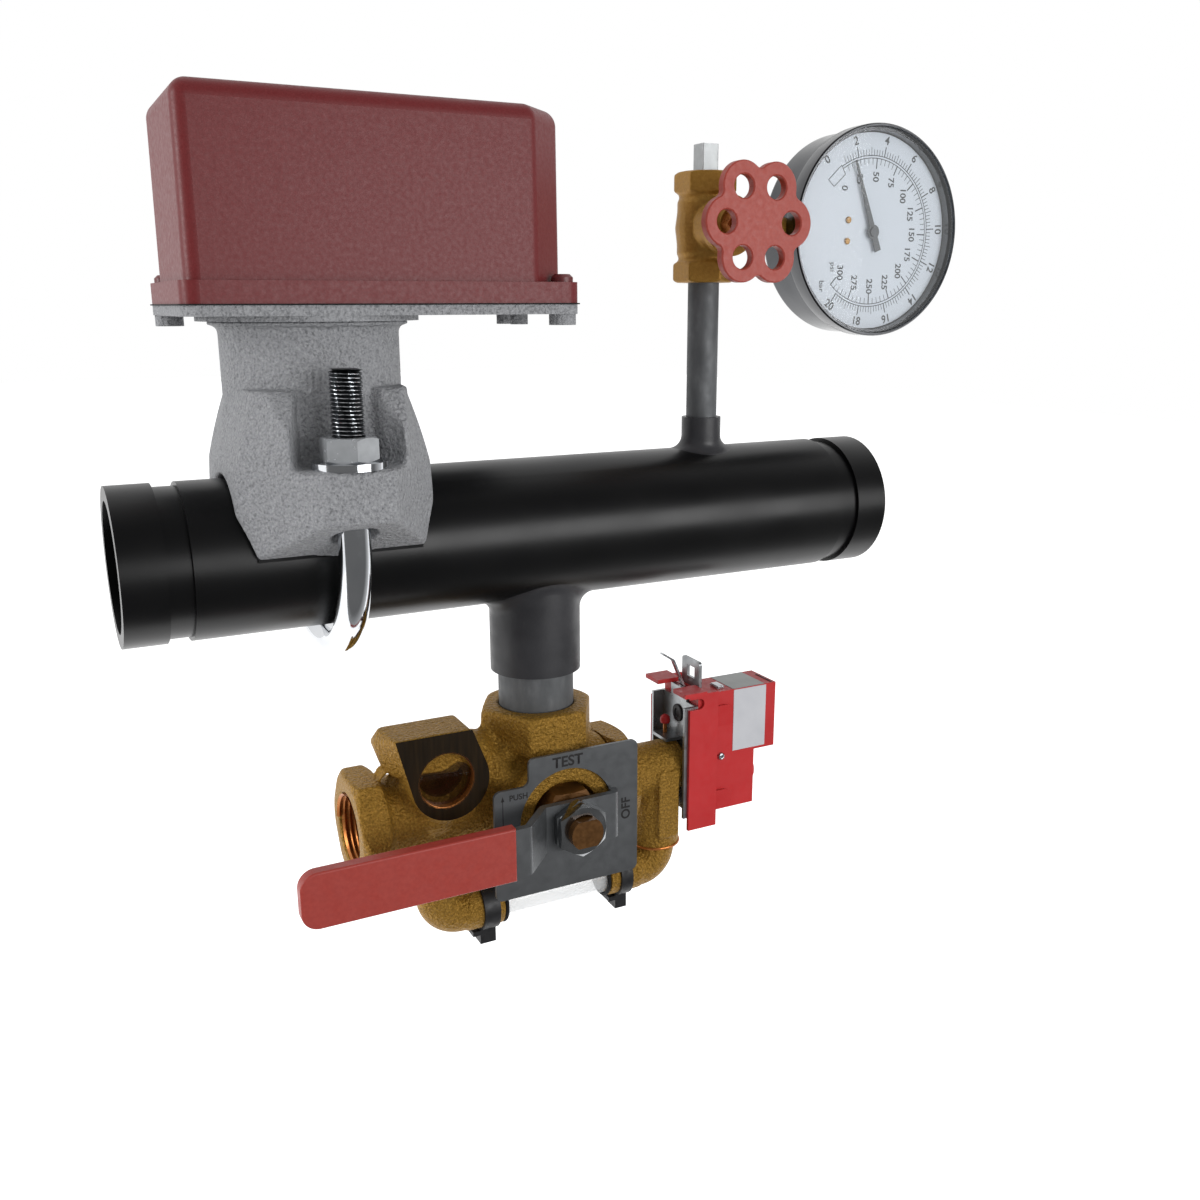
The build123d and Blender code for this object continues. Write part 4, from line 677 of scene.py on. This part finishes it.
# Valve spindle and gland. A copper-coloured turned spindle with two flats stands out of the packing
# gland in the body's boss.
stem_bronze = coat("stem_bronze", metal=0.6, rough=0.34)
tint(stem_bronze, grain(stem_bronze, 3 * mm, 4), [(0.3, "5C3C1A"), (0.7, "6E4A24")])
wear(stem_bronze, grain(stem_bronze, 1.5 * mm, 4), 0.28, 0.42)
dress(stem_bronze, "valve_stem", "stem_gland")
ease("valve_stem", 0.3 * mm)

# Index plate. Smooth grey sheet steel screwed to the body, with an arch cut over the gland, printed in
# black with the valve's positions.
plate_steel = coat("plate_steel", metal=0.7, rough=0.4)
tint(plate_steel, grain(plate_steel, 0.03, 5), [(0.3, "606264"), (0.7, "6A6C6E")])
wear(plate_steel, grain(plate_steel, 4 * mm, 5), 0.34, 0.46)
bumps(plate_steel, (grain(plate_steel, 1.5 * mm, 3), 0.005 * mm))
dress(plate_steel, "index_plate")
ease("index_plate", 0.3 * mm)
print_black = coat("print_black", rough=0.6)
tint(print_black, grain(print_black, 0.5 * mm, 3), [(0.3, "0E0A0B"), (0.7, "161213")])
words_y = -31.55 * mm
for name, words, height, place, right, up in (
        ("word_test", "TEST", 4.8 * mm, (0.3, -96.6), (1, 0, 0), (0, 0, 1)),
        ("word_off", "OFF", 4.3 * mm, (28.8, -124.2), (0, 0, 1), (-1, 0, 0)),
        ("word_push", "PUSH", 2.6 * mm, (-22.9, -108.4), (1, 0, 0), (0, 0, 1))):
    lettering(name, words, height, (drain_x + place[0] * mm, words_y, place[1] * mm), right, up,
              print_black, weight=0.035)
arrow = bmesh.new()
arrow_x = drain_x - 30.2 * mm
arrow_tail = Vector((arrow_x, words_y, -121.0 * mm))
arrow_tip = Vector((arrow_x, words_y, -106.8 * mm))
stroke(arrow, arrow_tail, arrow_tip - Vector((0, 0, 2 * mm)), line_w)
arrow.faces.new([arrow.verts.new(p) for p in (
    arrow_tip, arrow_tip - Vector((0.8 * mm, 0, 2.4 * mm)), arrow_tip - Vector((-0.8 * mm, 0, 2.4 * mm)))])
face_front(arrow)
fasten(piece_from("push_arrow", arrow, smooth=False), print_black)

# Lever. A cranked strip of the same sheet steel, slotted over the spindle's flats and held by a hub
# nut and a lock nut, with a red vinyl sleeve dipped onto its handle.
dress(plate_steel, "lever")
ease("lever", 0.3 * mm)
nickel = coat("nickel_plate", metal=1.0, rough=0.16)
tint(nickel, grain(nickel, 6 * mm, 3), [(0.3, "8E9092"), (0.7, "9C9EA0")])
wear(nickel, grain(nickel, 4 * mm, 3), 0.12, 0.22)
dress(nickel, "lever_nuts")
ease("lever_nuts", 0.7 * mm)
vinyl = coat("red_vinyl", rough=0.42, shine=0.45)
tint(vinyl, grain(vinyl, 1.5 * mm, 3), [(0.3, "9A352D"), (0.7, "A23B32")])
wear(vinyl, grain(vinyl, 4 * mm, 4), 0.36, 0.5)
bumps(vinyl, (grain(vinyl, 1.5 * mm, 2), 0.008 * mm))
dress(vinyl, "lever_sleeve")
ease("lever_sleeve", 0.8 * mm, 3)

# Relief line. From the tee at the valve's right a cast elbow runs down to a clear tube that shows flow,
# and a second elbow brings it back up. Rubber seals and two moulded spring clips hold the tube, and a
# thin copper-coloured ring closes the joint between the tee's branch and its elbow.
clear = coat("clear_tube_plastic", rough=0.08)
tint(clear, grain(clear, 0.02, 2), [(0.3, "F0F3F5"), (0.7, "F8FAFB")])
socket(clear, "Alpha").default_value = 0.3
dress(clear, "clear_tube")


def ring_across(x, y, z, radius, upright, sides=32):
    """Ring of points in millimetres round an axis that runs upright, or else along the pipe."""
    turns = [2 * math.pi * k / sides for k in range(sides)]
    if upright:
        return [tuple(at_valve(x + radius * math.cos(t), y + radius * math.sin(t), z)) for t in turns]
    return [tuple(at_valve(x, y + radius * math.cos(t), z + radius * math.sin(t))) for t in turns]


branch_seal = tube_mesh("branch_seal_ring", [ring_across(61.5, 0, z, r, True, 48) for z, r in (
    (-159.2, 11.6), (-159.3, 12.35), (-159.8, 12.55), (-160.4, 12.35), (-160.5, 8.8))], closed_ends=False)
fasten(branch_seal, copper)

# Relief unit. A zinc-plated channel is screwed to the tee and carries a moulded red housing with a
# poppet, a steel flush tab, a bent release spring and a small red knob.
bracket_zinc = coat("bracket_zinc", metal=0.85, rough=0.32)
tint(bracket_zinc, grain(bracket_zinc, 0.012, 5), [(0.3, "85888A"), (0.7, "A4A7A9")])
wear(bracket_zinc, grain(bracket_zinc, 4 * mm, 5), 0.24, 0.42)
bumps(bracket_zinc, (grain(bracket_zinc, 1.2 * mm, 3), 0.006 * mm))
dress(bracket_zinc, "relief_bracket", "flush_tab")
dress(steel, "release_spring")
moulded_red = coat("moulded_red", rough=0.42, shine=0.3)
tint(moulded_red, grain(moulded_red, 0.02, 5), [(0.3, "B32628"), (0.7, "BC2D2F")])
wear(moulded_red, grain(moulded_red, 3 * mm, 4), 0.34, 0.5)
bumps(moulded_red, (grain(moulded_red, 1.2 * mm, 2), 0.006 * mm))
dress(moulded_red, "relief_housing", "relief_knob")
ease("relief_housing", 0.55 * mm, 3)
ease("relief_knob", 0.5 * mm)

# Housing's details. Two pads moulded with the housing, whose top edges curve down to the right, a bare
# white side plate and a bare silver top plate glued on, a small steel clip, a black end strip, and a
# button-head socket screw.
housing_side = -15.4
housing_top = -84.05


def pad_on_side(name, outline, thick, sunk, foot=0.03):
    """Pad on the housing's side, its outline in millimetres: full thickness at its top, almost none below."""
    mesh = bmesh.new()
    tops = [z for _, z in outline]
    rise = max(tops) - min(tops)
    y_back = housing_side + sunk
    back = [mesh.verts.new(at_valve(x, y_back, z)) for x, z in outline]
    front = [mesh.verts.new(at_valve(x, y_back - (thick + sunk) * (foot + (1 - foot) * (z - min(tops)) / rise), z))
             for x, z in outline]
    mesh.faces.new(front)
    mesh.faces.new(list(reversed(back)))
    for i in range(len(outline)):
        j = (i + 1) % len(outline)
        mesh.faces.new((front[j], front[i], back[i], back[j]))
    bmesh.ops.recalc_face_normals(mesh, faces=mesh.faces)
    fasten(piece_from(name, mesh), moulded_red)


def slab(name, low, high, made_of, eased):
    """Block between two corners in millimetres, its x counted from the drain's axis, with eased edges."""
    mesh = bmesh.new()
    bmesh.ops.create_cube(mesh, size=1)
    for vert in mesh.verts:
        vert.co = at_valve(*(l + (h - l) * (c + 0.5) for l, h, c in zip(low, high, vert.co)))
    bmesh.ops.bevel(mesh, geom=mesh.edges[:], offset=eased * mm, segments=2, affect="EDGES")
    fasten(piece_from(name, mesh), made_of)


pad_left, curve = 86.2, 5
for name, top, right, foot in (("upper_pad", -90.6, 95.3, -102.0), ("lower_pad", -133.6, 95.0, -144.0)):
    corner = [(right - curve + curve * math.sin(math.radians(t)), top - curve + curve * math.cos(math.radians(t)))
              for t in range(0, 91, 10)]
    pad_on_side(name, [(pad_left, top)] + corner + [(right, foot), (pad_left, foot)], thick=1.3, sunk=0.1)
label_white = coat("label_white", rough=0.5, shine=0.3)
tint(label_white, grain(label_white, 0.01, 4), [(0.3, "B9BABF"), (0.7, "C1C2C6")])
slab("side_plate", (95.8, housing_side - 0.2, -115.2), (114.3, housing_side + 0.05, -84.4), label_white,
     0.08)
label_silver = coat("label_silver", metal=0.6, rough=0.45)
tint(label_silver, grain(label_silver, 0.01, 4), [(0.3, "8F9190"), (0.7, "9D9F9E")])
slab("top_plate", (95.4, housing_side + 0.1, housing_top), (113.6, 4.8, housing_top + 0.2), label_silver,
     0.08)
slab("steel_clip", (88.6, -12.0, housing_top - 0.05), (92.8, -5.2, -82.6), steel, 0.4)
slab("end_strip", (117.6, -14.2, housing_top), (118.5, -1.4, housing_top + 0.3), moulded_black,
     0.1)
side_screw = tube_mesh("side_screw", [ring_at(89.1, -116.6, y, r, 24) for y, r in (
    (housing_side + 0.1, 1.9), (-15.9, 1.85), (-16.5, 1.5), (-16.75, 0.95), (-16.7, 0.8), (-16.0, 0.75),
    (-16.0, 0.01))], closed_ends=False)
fasten(side_screw, steel)

# Bracket's details. A black disc that fills the hole in the channel's web, as painted shade of the hole,
# a small red cap pressed on a brass pin that stands on the shelf, and the moulded edge of the far cheek,
# which shows beside the channel.
# Black disc with a raised rim in the web's hole: painted shade where the hole shows dark.
hole_shade_disc = tube_mesh("web_hole_shade", [ring_across(x, 0, -97, r, False) for x, r in (
    (74.45, 4.3), (73.8, 4.2), (73.5, 3.6), (73.6, 2.4), (74.2, 1.9), (74.2, 0.01))], closed_ends=False)
fasten(hole_shade_disc, moulded_black)
pin_x, pin_y = 70.5, 5.5
pin = tube_mesh("plunger_pin", [ring_across(pin_x, pin_y, z, r, True) for z, r in (
    (-108.1, 1.0), (-103.6, 1.0), (-103.5, 0.9), (-103.4, 0.01))], closed_ends=False)
fasten(pin, copper)
cap = tube_mesh("plunger_cap", [ring_across(pin_x, pin_y, z, r, True) for z, r in (
    (-103.5, 0.01), (-103.5, 1.5), (-103.0, 2.3), (-101.8, 2.5), (-100.2, 2.2), (-99.2, 1.3),
    (-98.9, 0.01))], closed_ends=False)
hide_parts("trip_plunger")
fasten(cap, moulded_red)
slab("far_cheek_edge", (68.8, 15.45, -144), (70.6, 16.9, -91.5), moulded_red, 0.3)

# Stage. A wide pale floor stands in for the white sheet below the hanging part and glows only for the
# camera and in reflections. The room is white to the eye, softly lit, and dark behind the camera.
floor_z = -0.62
floor_front, floor_back = -0.1, 12
floor_left, floor_right = -6, 6.4
floor_glow = 0.75
floor_mesh = bmesh.new()
floor_mesh.faces.new([floor_mesh.verts.new(corner) for corner in (
    (floor_left, floor_front, 0), (floor_right, floor_front, 0),
    (floor_right, floor_back, 0), (floor_left, floor_back, 0))])
floor = piece_from("floor", floor_mesh, smooth=False)
floor.location = (0, 0, floor_z)
floor_white = coat("floor_white", rough=0.9, shine=0.0)
tint(floor_white, grain(floor_white, 2.0, 2), [(0.3, "FDFDFD"), (0.7, "FFFFFF")])


def combine(tree, operation, first, second):
    """Math node of a socket with a second socket or a number."""
    node = tree.nodes.new("ShaderNodeMath")
    node.operation = operation
    tree.links.new(first, node.inputs[0])
    if isinstance(second, float):
        node.inputs[1].default_value = second
    else:
        tree.links.new(second, node.inputs[1])
    return node.outputs[0]


floor_tree = floor_white.node_tree
rays = floor_tree.nodes.new("ShaderNodeLightPath").outputs
seen = combine(floor_tree, "MAXIMUM", rays["Is Camera Ray"], rays["Is Glossy Ray"])
socket(floor_white, "Emission Color").default_value = (1, 1, 1, 1)
floor_tree.links.new(combine(floor_tree, "MULTIPLY", seen, floor_glow), socket(floor_white, "Emission Strength"))
floor.data.materials.append(floor_white)

# Soft light comes evenly from the room. Reflections see a white wall behind the part and a dim one
# behind the camera, with a gradual change between them.
room_light, dim_wall, white_wall, blend = 0.55, 0.16, 1.0, 0.35
world = bpy.data.worlds.new("white_room")
bpy.context.scene.world = world
world.use_nodes = True
tree = world.node_tree
room = tree.nodes["Background"].inputs
room["Color"].default_value = (1, 1, 1, 1)
rays = tree.nodes.new("ShaderNodeLightPath").outputs
seen = combine(tree, "MAXIMUM", rays["Is Camera Ray"], rays["Is Transmission Ray"])
toward = tree.nodes.new("ShaderNodeVectorMath")
toward.operation = "DOT_PRODUCT"
toward.inputs[1].default_value = (0.2, 1.0, 0.0)
tree.links.new(tree.nodes.new("ShaderNodeTexCoord").outputs["Generated"], toward.inputs[0])
mirrored = tree.nodes.new("ShaderNodeMapRange")
for name, value in (("From Min", -blend), ("From Max", blend), ("To Min", dim_wall), ("To Max", white_wall)):
    mirrored.inputs[name].default_value = value
tree.links.new(toward.outputs["Value"], mirrored.inputs["Value"])
level = tree.nodes.new("ShaderNodeMix")
level.inputs["A"].default_value = room_light
tree.links.new(rays["Is Glossy Ray"], level.inputs["Factor"])
tree.links.new(mirrored.outputs["Result"], level.inputs["B"])
tree.links.new(combine(tree, "MAXIMUM", seen, level.outputs["Result"]), room["Strength"])


def soft_lamp(name, place, aim, size, watts):
    """Large flat lamp that looks at a point; its size is width and height."""
    lamp = bpy.data.lights.new(name, "AREA")
    lamp.shape = "RECTANGLE"
    lamp.size, lamp.size_y = size
    lamp.energy = watts
    shown = bpy.data.objects.new(name, lamp)
    bpy.context.scene.collection.objects.link(shown)
    shown.location = place
    shown.rotation_euler = (Vector(aim) - Vector(place)).to_track_quat("-Z", "Y").to_euler()


middle = (0.17, 0, 0)
soft_lamp("left_lamp", (-1.4, 0.1, 0.4), middle, (0.5, 0.9), 13)
soft_lamp("front_lamp", (0.75, -1.35, 0.12), middle, (1.1, 0.6), 12)

# Camera. The photograph's viewpoint, read from the pipe, the nipples and the gauge, whose sizes are
# standard: a close view from the front left and a little above.
camera = bpy.data.cameras.new("camera")
camera.lens = 34.70
camera.sensor_width = 36
camera.clip_start = 0.01
viewpoint = bpy.data.objects.new("camera", camera)
bpy.context.scene.collection.objects.link(viewpoint)
viewpoint.location = (-30.6 * mm, -449.65 * mm, 93.24 * mm)
viewpoint.rotation_euler = [math.radians(turn) for turn in (75.65, 0.17, -27.33)]
bpy.context.scene.camera = viewpoint
bpy.context.scene.view_settings.view_transform = "Standard"
